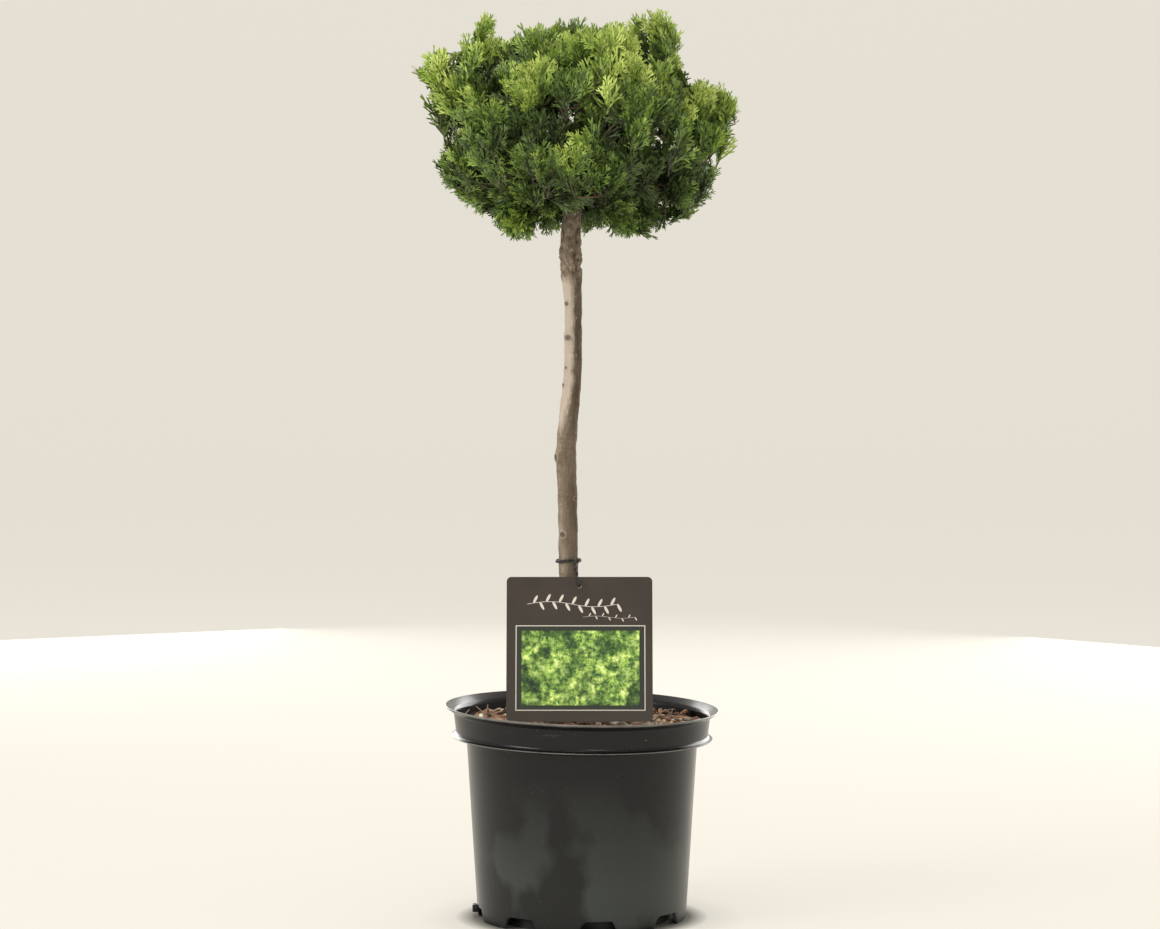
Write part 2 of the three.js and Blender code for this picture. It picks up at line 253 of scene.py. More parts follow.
class TagSettings(bpy.types.PropertyGroup):
    """The hang tag and what is printed on it."""

    card: FloatVectorProperty(
        name="Card", description="Colour of the card",
        default=(0.026, 0.017, 0.009), size=3, subtype="COLOR",
    )
    ink: FloatVectorProperty(
        name="Print", description="Colour of the printed line and sprig",
        default=(0.620, 0.560, 0.490), size=3, subtype="COLOR",
    )
    line_width: FloatProperty(
        name="Line width", description="Width of the frame line",
        default=0.75 * MM, unit="LENGTH",
    )


class StageSettings(bpy.types.PropertyGroup):
    """Camera, floor and studio light."""

    distance: FloatProperty(
        name="Distance", description="Camera to the pot's axis", default=3.6, unit="LENGTH",
    )
    height: FloatProperty(
        name="Height", description="Camera above the floor", default=0.65, unit="LENGTH",
    )
    aim: FloatProperty(
        name="Aim", description="Height that the camera looks at", default=0.38, unit="LENGTH",
    )
    lens: FloatProperty(name="Lens", description="Focal length in mm", default=134.6)
    glow: FloatProperty(
        name="Glow", description="Light of its own that the floor and backdrop give", default=0.70,
    )
    floor: FloatVectorProperty(
        name="Floor", description="Colour of the floor and backdrop",
        default=(0.880, 0.840, 0.750), size=3, subtype="COLOR",
    )


class TopiarySettings(bpy.types.PropertyGroup):
    """Everything that a user may change."""

    pot: PointerProperty(type=PotSettings)
    stem: PointerProperty(type=StemSettings)
    foliage: PointerProperty(type=FoliageSettings)
    mulch: PointerProperty(type=MulchSettings)
    tag: PointerProperty(type=TagSettings)
    stage: PointerProperty(type=StageSettings)


# ---------------------------------------------------------------- shared making


def add_piece(name, shape, materials, replaced=()):
    """Turns a bmesh or mesh into a piece of the object, riding on its one body."""
    if isinstance(shape, bmesh.types.BMesh):
        mesh = bpy.data.meshes.new(name)
        shape.to_mesh(mesh)
        shape.free()
    else:
        mesh = shape
        mesh.name = name
    for material in materials:
        mesh.materials.append(material)
    piece = bpy.data.objects.new(name, mesh)
    bpy.context.scene.collection.objects.link(piece)
    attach(piece, BODY)
    if replaced:
        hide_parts(*replaced)
    return piece


def smooth_shading(piece, angle=35):
    """Smooth faces, with edges sharper than the angle kept crisp."""
    mesh = piece.data
    mesh.shade_smooth()
    mesh.set_sharp_from_angle(angle=math.radians(angle))


def tube(bm, sides, rings, place):
    """A closed limb: a grid wrapped round, its corners put at place(turn, along)."""
    grid = bmesh.ops.create_grid(bm, x_segments=sides, y_segments=rings, size=0.5)["verts"]
    for v in grid:
        v.co = place(v.co.x + 0.5, v.co.y + 0.5)
    bmesh.ops.remove_doubles(bm, verts=grid, dist=1e-6)
    kept = {v for v in grid if v.is_valid}
    open_edges = [e for e in bm.edges if e.is_boundary and e.verts[0] in kept]
    bmesh.ops.holes_fill(bm, edges=open_edges, sides=0)


def rounded(points, radius):
    """A polyline of (r, z) corners with each inner corner rounded by a short arc."""
    made = [Vector(points[0])]
    for before, corner, after in zip(points, points[1:], points[2:]):
        corner = Vector(corner)
        back, on = Vector(before) - corner, Vector(after) - corner
        cut = min(radius, 0.45 * back.length, 0.45 * on.length)
        start, end = corner + back.normalized() * cut, corner + on.normalized() * cut
        for t in (0, 0.25, 0.5, 0.75, 1):
            made.append(start.lerp(corner, t).lerp(corner.lerp(end, t), t))
    made.append(Vector(points[-1]))
    return made


def wires(name, lines, sides=1):
    """A mesh of round, tapering wires, each line a list of (point, radius)."""
    curve = bpy.data.curves.new(name, "CURVE")
    curve.dimensions = "3D"
    curve.bevel_depth = 1.0
    curve.bevel_resolution = sides
    curve.use_fill_caps = True
    for line in lines:
        spline = curve.splines.new("POLY")
        spline.points.add(len(line) - 1)
        spline.points.foreach_set("co", [c for point, _ in line for c in (*point, 1.0)])
        spline.points.foreach_set("radius", [radius for _, radius in line])
    holder = bpy.data.objects.new(name, curve)
    mesh = bpy.data.meshes.new_from_object(holder)
    bpy.data.objects.remove(holder)
    bpy.data.curves.remove(curve)
    return mesh


def mesh_arrays(bm):
    """Corners, six-sided faces and material numbers of a template, as arrays."""
    bm.verts.index_update()
    corners = np.array([v.co for v in bm.verts])
    faces = np.array([[v.index for v in f.verts] for f in bm.faces])
    tints = np.array([f.material_index for f in bm.faces])
    return corners, faces, tints


def mesh_from_arrays(name, corners, faces, tints):
    """A mesh whose faces all have the same number of sides."""
    mesh = bpy.data.meshes.new(name)
    mesh.vertices.add(len(corners))
    mesh.vertices.foreach_set("co", corners.astype(np.float32).ravel())
    mesh.loops.add(faces.size)
    mesh.loops.foreach_set("vertex_index", faces.astype(np.int32).ravel())
    mesh.polygons.add(len(faces))
    starts = np.arange(len(faces), dtype=np.int32) * faces.shape[1]
    mesh.polygons.foreach_set("loop_start", starts)
    mesh.polygons.foreach_set("material_index", tints.astype(np.int32))
    mesh.update(calc_edges=True)
    mesh.validate()
    return mesh


def copies(templates, picks, matrices, levels):
    """Joins placed copies of templates: template number, 4x4 place and tint level of each."""
    corners, faces, tints, start = [], [], [], 0
    for number, (points, polygons, steps) in enumerate(templates):
        chosen = np.flatnonzero(picks == number)
        if not len(chosen):
            continue
        turn, shift = matrices[chosen, :3, :3], matrices[chosen, :3, 3]
        placed = np.einsum("nij,vj->nvi", turn, points) + shift[:, None, :]
        corners.append(placed.reshape(-1, 3))
        offset = start + np.arange(len(chosen)) * len(points)
        faces.append((polygons[None] + offset[:, None, None]).reshape(-1, polygons.shape[1]))
        tints.append((steps[None] + levels[chosen][:, None]).ravel())
        start += len(chosen) * len(points)
    return np.concatenate(corners), np.concatenate(faces), np.concatenate(tints)


# ---------------------------------------------------------------- shared materials


def plain_material(name, colour, roughness, specular=0.5):
    """A material with its numbers on the shader's own sockets."""
    material = bpy.data.materials.new(name)
    material.use_nodes = True
    shader = material.node_tree.nodes["Principled BSDF"]
    shader.inputs["Base Color"].default_value = (*colour, 1)
    shader.inputs["Roughness"].default_value = roughness
    shader.inputs["Specular IOR Level"].default_value = specular
    return material, shader


def placed_noise(material, scale, stretch=(1, 1, 1), detail=4, roughness=0.6):
    """Noise on Object coordinates, stretched along the axes."""
    tree = material.node_tree
    place = tree.nodes.new("ShaderNodeTexCoord")
    mapping = tree.nodes.new("ShaderNodeMapping")
    mapping.inputs["Scale"].default_value = stretch
    pattern = tree.nodes.new("ShaderNodeTexNoise")
    pattern.inputs["Scale"].default_value = scale
    pattern.inputs["Detail"].default_value = detail
    pattern.inputs["Roughness"].default_value = roughness
    tree.links.new(place.outputs["Object"], mapping.inputs["Vector"])
    tree.links.new(mapping.outputs["Vector"], pattern.inputs["Vector"])
    return pattern.outputs["Fac"]


def ramp(material, source, stops):
    """A colour ramp over a source socket, from (place, colour) stops."""
    node = material.node_tree.nodes.new("ShaderNodeValToRGB")
    while len(node.color_ramp.elements) < len(stops):
        node.color_ramp.elements.new(0.5)
    for element, (place, colour) in zip(node.color_ramp.elements, stops):
        element.position = place
        element.color = (*colour, 1) if len(colour) == 3 else colour
    material.node_tree.links.new(source, node.inputs["Fac"])
    return node.outputs["Color"]


def grey(value):
    """A grey of one value, for ramps that carry a number."""
    return (value, value, value)


def mixed(material, share, first, second, blend="MIX"):
    """Mixes two colours, each a socket or a plain colour, by a share socket or number."""
    node = material.node_tree.nodes.new("ShaderNodeMix")
    node.data_type = "RGBA"
    node.blend_type = blend
    for socket, value in (("Factor", share), ("A", first), ("B", second)):
        target = next(i for i in node.inputs if i.name == socket and i.enabled)
        if isinstance(value, bpy.types.NodeSocket):
            material.node_tree.links.new(value, target)
        else:
            target.default_value = value if isinstance(value, (int, float)) else (*value, 1)
    return next(o for o in node.outputs if o.enabled)


def height_share(material, low, high):
    """A number that goes from 0 to 1 between two heights of the object."""
    tree = material.node_tree
    place = tree.nodes.new("ShaderNodeTexCoord")
    split = tree.nodes.new("ShaderNodeSeparateXYZ")
    change = tree.nodes.new("ShaderNodeMapRange")
    change.inputs["From Min"].default_value = low
    change.inputs["From Max"].default_value = high
    tree.links.new(place.outputs["Object"], split.inputs["Vector"])
    tree.links.new(split.outputs["Z"], change.inputs["Value"])
    return change.outputs["Result"]


def radius_share(material, near, far):
    """A number that goes from 0 to 1 between two distances from the pot's axis."""
    tree = material.node_tree
    place = tree.nodes.new("ShaderNodeTexCoord")
    flat = tree.nodes.new("ShaderNodeMapping")
    flat.inputs["Scale"].default_value = (1, 1, 0)
    length = tree.nodes.new("ShaderNodeVectorMath")
    length.operation = "LENGTH"
    change = tree.nodes.new("ShaderNodeMapRange")
    change.inputs["From Min"].default_value = near
    change.inputs["From Max"].default_value = far
    tree.links.new(place.outputs["Object"], flat.inputs["Vector"])
    tree.links.new(flat.outputs["Vector"], length.inputs[0])
    tree.links.new(length.outputs["Value"], change.inputs["Value"])
    return change.outputs["Result"]


def attribute(material, name):
    """A number that the mesh carries at its corners."""
    node = material.node_tree.nodes.new("ShaderNodeAttribute")
    node.attribute_name = name
    return node.outputs["Fac"]


def bumped(material, shader, source, strength, distance):
    """Feeds a height source to the shader's Normal through a bump."""
    bump = material.node_tree.nodes.new("ShaderNodeBump")
    bump.inputs["Strength"].default_value = strength
    bump.inputs["Distance"].default_value = distance
    material.node_tree.links.new(source, bump.inputs["Height"])
    material.node_tree.links.new(bump.outputs["Normal"], shader.inputs["Normal"])


def link(material, source, shader, socket):
    """Joins a source socket to one of the shader's sockets."""
    material.node_tree.links.new(source, shader.inputs[socket])


# ---------------------------------------------------------------- pot

NOTCHES = 8
NOTCH_TURN = math.radians(-81)
NOTCH_HALF_WIDTH = math.radians(8.2)
NOTCH_SLOPE = math.radians(2.2)
CHANNEL_HEIGHT = 10.9 * MM
FLOOR_RADIUS = 74 * MM
FOOT_RADIUS = 87 * MM
SHOULDER_RADIUS = 96.4 * MM
BAND_TOP_RADIUS = 107.4 * MM
BAND_FOOT_RADIUS = 105.3 * MM
BAND_LIP_RADIUS = 109.5 * MM


def pot_profile(pot):
    """The moulded wall's section, from the middle of the underside round to the inner floor."""
    top, wall = pot.height, pot.wall
    band = top - pot.band_height
    inner_foot = FOOT_RADIUS - wall
    return rounded(
        [
            (0, 0),
            (FLOOR_RADIUS, 0),
            (FLOOR_RADIUS + 1.2 * MM, CHANNEL_HEIGHT),
            (inner_foot - 0.6 * MM, CHANNEL_HEIGHT),
            (inner_foot, 0.2 * MM),
            (FOOT_RADIUS - 0.2 * MM, 0),
            (FOOT_RADIUS + 0.4 * MM, 3 * MM),
            (FOOT_RADIUS + 0.9 * MM, CHANNEL_HEIGHT + 0.6 * MM),
            (SHOULDER_RADIUS, band - 3 * MM),
            (BAND_FOOT_RADIUS - 1.2 * MM, band - 0.6 * MM),
            (BAND_LIP_RADIUS - 0.3 * MM, band - 0.2 * MM),
            (BAND_LIP_RADIUS, band + 0.5 * MM),
            (BAND_FOOT_RADIUS + 1.2 * MM, band + 1.4 * MM),
            (BAND_FOOT_RADIUS, band + 3.2 * MM),
            (BAND_TOP_RADIUS - 0.2 * MM, top - 6 * MM),
            (pot.rim_radius - 0.6 * MM, top - 1.6 * MM),
            (pot.rim_radius, top - 0.8 * MM),
            (pot.rim_radius - 0.7 * MM, top),
            (BAND_TOP_RADIUS - 0.8 * MM, top - 4.6 * MM),
            (BAND_TOP_RADIUS - 2 * MM, top - 7 * MM),
            (BAND_FOOT_RADIUS - wall, band + 1.6 * MM),
            (SHOULDER_RADIUS - wall, band - 1.2 * MM),
            (inner_foot, CHANNEL_HEIGHT + wall),
            (FLOOR_RADIUS - wall, CHANNEL_HEIGHT + wall),
            (FLOOR_RADIUS - wall - 1 * MM, wall),
            (0, wall),
        ],
        0.9 * MM,
    )


def notch_rise(angle):
    """How open the foot ring is at an angle: 0 on the ring, 1 inside a drain notch."""
    pitch = 2 * math.pi / NOTCHES
    off = abs((angle - NOTCH_TURN + pitch / 2) % pitch - pitch / 2)
    return min(max((NOTCH_HALF_WIDTH + NOTCH_SLOPE - off) / NOTCH_SLOPE, 0), 1)


def build_pot(pot):
    """The nursery pot, spun from its section, with its drain notches, lug and dipping mouth."""
    bm = bmesh.new()
    section = [bm.verts.new((p.x, 0, p.y)) for p in pot_profile(pot)]
    edges = [bm.edges.new(pair) for pair in zip(section, section[1:])]
    bmesh.ops.spin(
        bm, geom=section + edges, angle=2 * math.pi, steps=pot.steps,
        axis=UP, cent=(0, 0, 0), use_merge=True,
    )
    bmesh.ops.remove_doubles(bm, verts=bm.verts, dist=1e-6)
    bmesh.ops.recalc_face_normals(bm, faces=bm.faces)
    for v in bm.verts:
        out = math.hypot(v.co.x, v.co.y)
        if v.co.z < CHANNEL_HEIGHT and out > FLOOR_RADIUS + 4 * MM:
            rise = notch_rise(math.atan2(v.co.y, v.co.x))
            v.co.z += (CHANNEL_HEIGHT - 0.1 * MM - v.co.z) * rise
    # Marks the outer edges of the rim and the band lip, which the plastic paints with a pale highlight.
    marked = bm.verts.layers.float.new("painted_highlight")
    for v in bm.verts:
        out = math.hypot(v.co.x, v.co.y)
        on_rim = out > pot.rim_radius - 1.1 * MM and v.co.z > pot.height - 3 * MM
        on_lip = out > BAND_LIP_RADIUS - 0.8 * MM and v.co.z < pot.height - 20 * MM
        v[marked] = 1.0 if on_rim or on_lip else 0.0
    lug = bmesh.ops.create_cube(
        bm, size=1,
        matrix=Matrix.Translation((-FOOT_RADIUS - 1.6 * MM, 0, 7.4 * MM))
        @ Matrix.Diagonal((6.4 * MM, 8.8 * MM, 6.4 * MM, 1)),
    )["verts"]
    bmesh.ops.bevel(
        bm, geom=list({e for v in lug for e in v.link_edges}), offset=0.7 * MM,
        affect="EDGES", segments=2, profile=0.5, material=-1,
    )
    for v in bm.verts:
        v.co.z -= MOUTH_DIP * v.co.x * v.co.z ** 2 / (pot.rim_radius * pot.height ** 2)
    piece = add_piece("nursery_pot", bm, [pot_plastic(pot)], ["pot"])
    smooth_shading(piece, 40)


def pot_plastic(pot):
    """Satin black plastic with moulding ripple, fine scratches, a painted reflection in patches low down
    and a painted highlight along the rim and band lip.
    """
    material, shader = plain_material("pot_plastic", pot.colour, 0.4, 0.3)
    patches = placed_noise(material, 16, (1, 1, 0.8), 3, 0.45)
    # Painted reflection: lighter patches, stronger towards the bottom of the pot.
    reflection_edge = ramp(material, patches, [(0.46, grey(0.15)), (0.54, grey(1))])
    low = height_share(material, 0.130, 0.035)
    reflection = mixed(material, low, grey(0), reflection_edge)
    specks = ramp(
        material, placed_noise(material, 700, detail=2), [(0.70, grey(0)), (0.76, grey(0.7))]
    )
    scratches = placed_noise(material, 34, (0.8, 0.8, 8), 6, 0.78)
    where = ramp(material, placed_noise(material, 11, detail=2), [(0.48, grey(0)), (0.60, grey(1))])
    marked = ramp(material, scratches, [(0.62, grey(0)), (0.70, grey(0.8))])
    marked = mixed(material, 1.0, marked, where, "MULTIPLY")
    # Painted highlight: a pale, broken line along the rim and the band lip.
    edge = mixed(material, 0.3, attribute(material, "painted_highlight"), placed_noise(material, 45))
    edge = ramp(material, edge, [(0.70, grey(0)), (0.95, grey(0.55))])
    colour = mixed(material, reflection, pot.colour, pot.painted_reflection)
    colour = mixed(material, marked, colour, grey(0.065))
    colour = mixed(material, specks, colour, grey(0.11))
    colour = mixed(material, edge, colour, (0.42, 0.39, 0.35))
    link(material, colour, shader, "Base Color")
    sheen = ramp(material, patches, [(0.3, grey(0.18)), (0.7, grey(0.32))])
    link(material, sheen, shader, "Roughness")
    ripple = placed_noise(material, 60, (1, 1, 0.25), 5, 0.6)
    bumped(material, shader, ripple, 0.12, 0.8 * MM)
    return material


# ---------------------------------------------------------------- mulch


def bed_height(x, y):
    """Height of the mulch bed at a place: uneven, and calm round the stem's foot."""
    swell = 1.9 * MM * noise.noise(Vector((x, y, 0.3)) * 34)
    lumps = 1.1 * MM * noise.noise(Vector((x, y, 1.7)) * 150)
    calm = min(math.hypot(x - STEM_FOOT.x, y - STEM_FOOT.y) / (34 * MM), 1)
    dip = MOUTH_DIP * x * SOIL_LEVEL ** 2 / (RIM_RADIUS * POT_HEIGHT ** 2)
    return SOIL_LEVEL - 0.8 * MM + (swell + lumps) * calm - dip


def build_mulch(mulch):
    """The bed of peat, and the bark chips and fibres that lie on it."""
    rng = np.random.default_rng(5)
    edge = BAND_FOOT_RADIUS - 1.4 * MM
    foot = POT_HEIGHT - 26 * MM
    bm = bmesh.new()
    disc = bmesh.ops.create_grid(bm, x_segments=180, y_segments=56, size=0.5)["verts"]
    for v in disc:
        turn, out = (v.co.x + 0.5) * 2 * math.pi, min((v.co.y + 0.5) * 1.02, 1)
        x, y = edge * out * math.cos(turn), edge * out * math.sin(turn)
        low = v.co.y > 0.495
        v.co = ((x, y, bed_height(x, y)) if not low else (x * 0.9, y * 0.9, foot))
    bmesh.ops.remove_doubles(bm, verts=bm.verts, dist=1e-5)
    open_edges = [e for e in bm.edges if e.is_boundary]
    bmesh.ops.holes_fill(bm, edges=open_edges, sides=0)
    bmesh.ops.recalc_face_normals(bm, faces=bm.faces)
    bed = add_piece("mulch_bed", bm, [peat(mulch)], ["mulch", "root_ball"])
    smooth_shading(bed, 60)
    build_chips(mulch, rng)
    build_fibres(mulch, rng)


def chip_templates(rng):
    """Eight rough bark chips, each a bevelled block pushed out of square."""
    made = []
    for _ in range(8):
        bm = bmesh.new()
        bmesh.ops.create_cube(bm, size=1)
        bmesh.ops.bevel(
            bm, geom=bm.edges[:], offset=0.16, affect="EDGES",
            segments=1, profile=0.5, material=-1,
        )
        bmesh.ops.triangulate(bm, faces=bm.faces)
        for v in bm.verts:
            v.co += Vector(rng.uniform(-0.13, 0.13, 3))
            v.co.x *= 1 - 0.5 * abs(v.co.y)
        made.append(mesh_arrays(bm))
        bm.free()
    return made


def build_chips(mulch, rng):
    """Bark chips scattered over the bed, of several tints."""
    templates = chip_templates(rng)
    matrices, levels = [], []
    while len(matrices) < mulch.chips:
        turn, out = rng.uniform(0, 2 * math.pi), (BAND_FOOT_RADIUS - 7 * MM) * math.sqrt(rng.random())
        x, y = out * math.cos(turn), out * math.sin(turn)
        from_stem = math.hypot(x - STEM_FOOT.x, y - STEM_FOOT.y)
        if from_stem < 15 * MM:
            continue
        long = rng.uniform(4.5, 15) * MM * (1.25 - 0.25 * out / BAND_FOOT_RADIUS)
        size = (long * rng.uniform(0.35, 0.7), long, rng.uniform(1.2, 3.2) * MM)
        place = Matrix.Translation((x, y, bed_height(x, y) + 0.45 * size[2]))
        spin = Matrix.Rotation(rng.uniform(0, 2 * math.pi), 4, "Z")
        tilt = Matrix.Rotation(rng.normal(0, 0.28), 4, "X") @ Matrix.Rotation(rng.normal(0, 0.28), 4, "Y")
        matrices.append(place @ spin @ tilt @ Matrix.Diagonal((*size, 1)))
        pale = math.exp(-(math.hypot(x - 70 * MM, y + 45 * MM) / (34 * MM)) ** 2)
        level = rng.choice(6, p=(0.12, 0.16, 0.24, 0.24, 0.14, 0.10))
        levels.append(int(rng.integers(4, 6)) if rng.random() < 0.7 * pale else level)
    picks = rng.integers(0, len(templates), len(matrices))
    arrays = copies(templates, picks, np.array(matrices), np.array(levels))
    tints = (
        (0.055, 0.032, 0.020), (0.115, 0.062, 0.034), (0.230, 0.120, 0.062),
        (0.370, 0.200, 0.105), (0.520, 0.380, 0.260), (0.700, 0.600, 0.460),
    )
    materials = [chip_material(number, tint) for number, tint in enumerate(tints)]
    add_piece("mulch_chips", mesh_from_arrays("mulch_chips", *arrays), materials)


def build_fibres(mulch, rng):
    """Thin roots and twiglets: most lie on the chips, a few stand up by the pot's wall."""
    lines = []
    for _ in range(mulch.fibres):
        turn, out = rng.uniform(0, 2 * math.pi), 92 * MM * math.sqrt(rng.random())
        x, y = out * math.cos(turn), out * math.sin(turn)
        heading, bend = rng.uniform(0, 2 * math.pi), rng.normal(0, 0.35)
        step, radius = rng.uniform(1.6, 3.6) * MM, rng.uniform(0.22, 0.5) * MM
        line = []
        for i in range(8):
            lift = 2.3 * MM + 1.2 * MM * math.sin(i * 0.9)
            line.append((Vector((x, y, bed_height(x, y) + lift)), radius * (1 - 0.08 * i)))
            x += step * math.cos(heading)
            y += step * math.sin(heading)
            heading += bend
        if math.hypot(x, y) < 98 * MM:
            lines.append(line)
    for foot, way, high, bow in (
        ((-79, -10), (-9, -6), 16, 2.0), ((-84, 22), (5, -4), 13, -1.5), ((-101, -4), (7, -3), 12, 1.0),
        ((60, -16), (18, 4), 13, 5.5), ((68, 12), (8, 5), 10, -3.0),
    ):
        start = Vector((foot[0] * MM, foot[1] * MM, SOIL_LEVEL))
        reach = Vector((way[0] * MM, way[1] * MM, high * MM))
        side = reach.cross(UP).normalized().cross(reach).normalized()
        lines.append([
            (start + reach * t + side * bow * MM * math.sin(math.pi * t), (0.75 - 0.35 * t) * MM)
            for t in np.linspace(0, 1, 9)
        ])
    material, shader = plain_material("fibre", (0.33, 0.23, 0.15), 0.8)
    tone = ramp(
        material, placed_noise(material, 60), [(0.3, (0.16, 0.10, 0.06)), (0.7, (0.46, 0.36, 0.26))]
    )
    link(material, tone, shader, "Base Color")
    piece = add_piece("mulch_fibres", wires("mulch_fibres", lines), [material])
    smooth_shading(piece, 60)


def peat(mulch):
    """Dark, crumbly peat."""
    material, shader = plain_material("peat", mulch.soil, 0.95, 0.2)
    crumbs = placed_noise(material, 260, detail=5, roughness=0.7)
    tone = ramp(material, crumbs, [(0.35, grey(0.012)), (0.55, mulch.soil), (0.75, (0.12, 0.07, 0.04))])
    link(material, tone, shader, "Base Color")
    bumped(material, shader, crumbs, 0.9, 1.5 * MM)
    return material


def chip_material(number, tint):
    """Bark chip: its own tint, streaked along the grain."""
    material, shader = plain_material(f"bark_chip_{number}", tint, 0.85, 0.3)
    grain = placed_noise(material, 330, (1, 1, 1.6), 4, 0.65)
    dark = tuple(0.55 * c for c in tint)
    pale = tuple(min(1.35 * c, 0.8) for c in tint)
    link(material, ramp(material, grain, [(0.35, dark), (0.65, pale)]), shader, "Base Color")
    bumped(material, shader, grain, 0.5, 0.6 * MM)
    return material


# ---------------------------------------------------------------- stem, leader and boughs

# Colours of the bark: painted light on its left, upper side and painted shade on its right side; round and
# in a knot.
PAINTED_LIGHT_BARK = (0.62, 0.52, 0.43)
SHADED_BARK = (0.075, 0.050, 0.030)
KNOT_RIM = (0.40, 0.34, 0.26)
KNOT_CORE = (0.060, 0.042, 0.028)

# Pruning knots up the bare stem: height, direction (-90 degrees is the front), size.
KNOTS = (
    (0.322, -125, 1.5), (0.352, -40, 0.8), (0.386, -165, 1.6), (0.446, -155, 1.5),
    (0.461, -138, 1.1), (0.486, -122, 2.1), (0.514, -132, 1.5), (0.498, 60, 1.2),
    (0.405, 95, 1.4), (0.340, 120, 1.2), (0.272, 20, 1.3), (0.236, -80, 1.0),
)
GRAFT_LOW, GRAFT_HIGH = 0.532, 0.570


def stem_at(height):
    """Middle and radius of the stem at a height."""
    rows = STEM_ROWS
    return [float(np.interp(height, rows[:, 2], rows[:, k])) for k in (0, 1, 3)]


def bark_relief(point, angle, fissure):
    """How far the bark stands out at a place: plates and fissures, lenticels and lumps."""
    along = Vector((math.cos(angle) * 3.4, math.sin(angle) * 3.4, point.z * 46))
    plates = abs(noise.noise(along * 1.15))
    fine = noise.noise(Vector((point.x * 900, point.y * 900, point.z * 260)))
    lenticels = max(noise.noise(Vector((point.x * 260, point.y * 260, point.z * 1150))) - 0.28, 0)
    lumps = noise.noise(point * 95)
    return fissure * (1.2 * min(plates * 2.2, 1) - 0.6 + 0.35 * fine + 1.5 * lenticels + 1.1 * lumps)


def knot_share(point, angle, size_too=False):
    """1 in the middle of a pruning knot, 0 away from it, or that times the knot's size."""
    total = 0.0
    for height, degrees, size in KNOTS:
        turn = (angle - math.radians(degrees) + math.pi) % (2 * math.pi) - math.pi
        off = math.hypot((point.z - height) / (2.1 * size * MM), turn * 8.0 / (2.3 * size))
        total += math.exp(-off ** 2) * (size * MM if size_too else 1)
    return total


def knot_relief(point, angle):
    """Raised knots with a dimple, where side shoots were cut off."""
    rise, middle = knot_share(point, angle, True), knot_share(point, angle)
    rough = 1 + 0.8 * noise.noise(point * 700)
    return rise * rough * (1.35 - 1.2 * middle ** 4)


def graft_relief(point):
    """The lumpy, scarred swelling of the graft union."""
    share = math.exp(-((point.z - (GRAFT_LOW + GRAFT_HIGH) / 2) / (14 * MM)) ** 2)
    return share * MM * (2.2 * noise.noise(point * 190) + 1.1 * noise.noise(point * 480))


def build_stem(stem):
    """The stem and leader with its bark, from just inside the mulch to the leader's tip."""
    low, high = SOIL_LEVEL - 3 * MM, float(STEM_ROWS[-1, 2]) + 0.5 * MM
    rings = int((high - low) / stem.ring_step)

    def place(turn, along):
        angle, height = turn * 2 * math.pi, low + (high - low) * along
        x, y, radius = stem_at(height)
        base = Vector((x + radius * math.cos(angle), y + radius * math.sin(angle), height))
        flare = 1 + 0.10 * math.sin(5 * angle + 0.7) * max(0, 1 - (height - low) / (14 * MM))
        relief = bark_relief(base, angle, stem.fissure) + knot_relief(base, angle) + graft_relief(base)
        relief *= min(radius / (7 * MM), 1)
        out = radius * flare + relief
        return Vector((x + out * math.cos(angle), y + out * math.sin(angle), height))

    bm = bmesh.new()
    tube(bm, stem.sides, rings, place)
    bmesh.ops.recalc_face_normals(bm, faces=bm.faces)
    # Painted light and shade: a layer high on the stem's left side, most of all on the upper stem, and low
    # on its right.
    knot, lit_side = bm.verts.layers.float.new("knot"), bm.verts.layers.float.new("lit_side")
    for v in bm.verts:
        x, y, radius = stem_at(v.co.z)
        v[knot] = min(knot_share(v.co, math.atan2(v.co.y - y, v.co.x - x)), 1)
        side = min(max(0.5 - 0.75 * (v.co.x - x) / radius, 0), 1)
        v[lit_side] = side * (0.35 + 0.65 * min(max((v.co.z - 0.40) / 0.04, 0), 1))
    piece = add_piece("bark_stem", bm, [bark_material(stem)], ["trunk"])
    smooth_shading(piece, 70)


def bough_line(node):
    """Middles and radii along a bough, from the leader outwards, and its outer direction."""
    points = cad_points(node)
    middle = points.mean(0)
    leader = np.array(stem_at(middle[2])[:2] + [middle[2]])
    outwards = Vector(points[np.argmax(np.linalg.norm(points - leader, axis=1))] - middle).normalized()
    return sections(node, outwards, 7), outwards


def build_boughs(stem):
    """Every main bough with its bark, rooted in the leader's side."""
    bm = bmesh.new()
    for node in BOUGHS:
        rows, _ = bough_line(node)
        first = Vector(rows[0, :3])
        x, y, _ = stem_at(first.z)
        root = Vector((x, y, first.z - 1.5 * MM))
        rows = np.vstack([[*root, rows[0, 3] * 1.25], rows])
        steps = np.linspace(0, 1, len(rows))
        line = [Vector(r[:3]) for r in rows]
        away = (line[-1] - line[0]).normalized()
        across = away.orthogonal().normalized()
        other = away.cross(across)

        def place(turn, along):
            angle = turn * 2 * math.pi
            middle = Vector([float(np.interp(along, steps, rows[:, k])) for k in range(3)])
            radius = float(np.interp(along, steps, rows[:, 3]))
            out = across * math.cos(angle) + other * math.sin(angle)
            rough = 0.22 * MM * noise.noise((middle + out * radius) * 420)
            return middle + out * (radius + rough)

        tube(bm, 14, 26, place)
    bmesh.ops.recalc_face_normals(bm, faces=bm.faces)
    piece = add_piece("bark_boughs", bm, [bark_material(stem)], BOUGHS)
    smooth_shading(piece, 70)


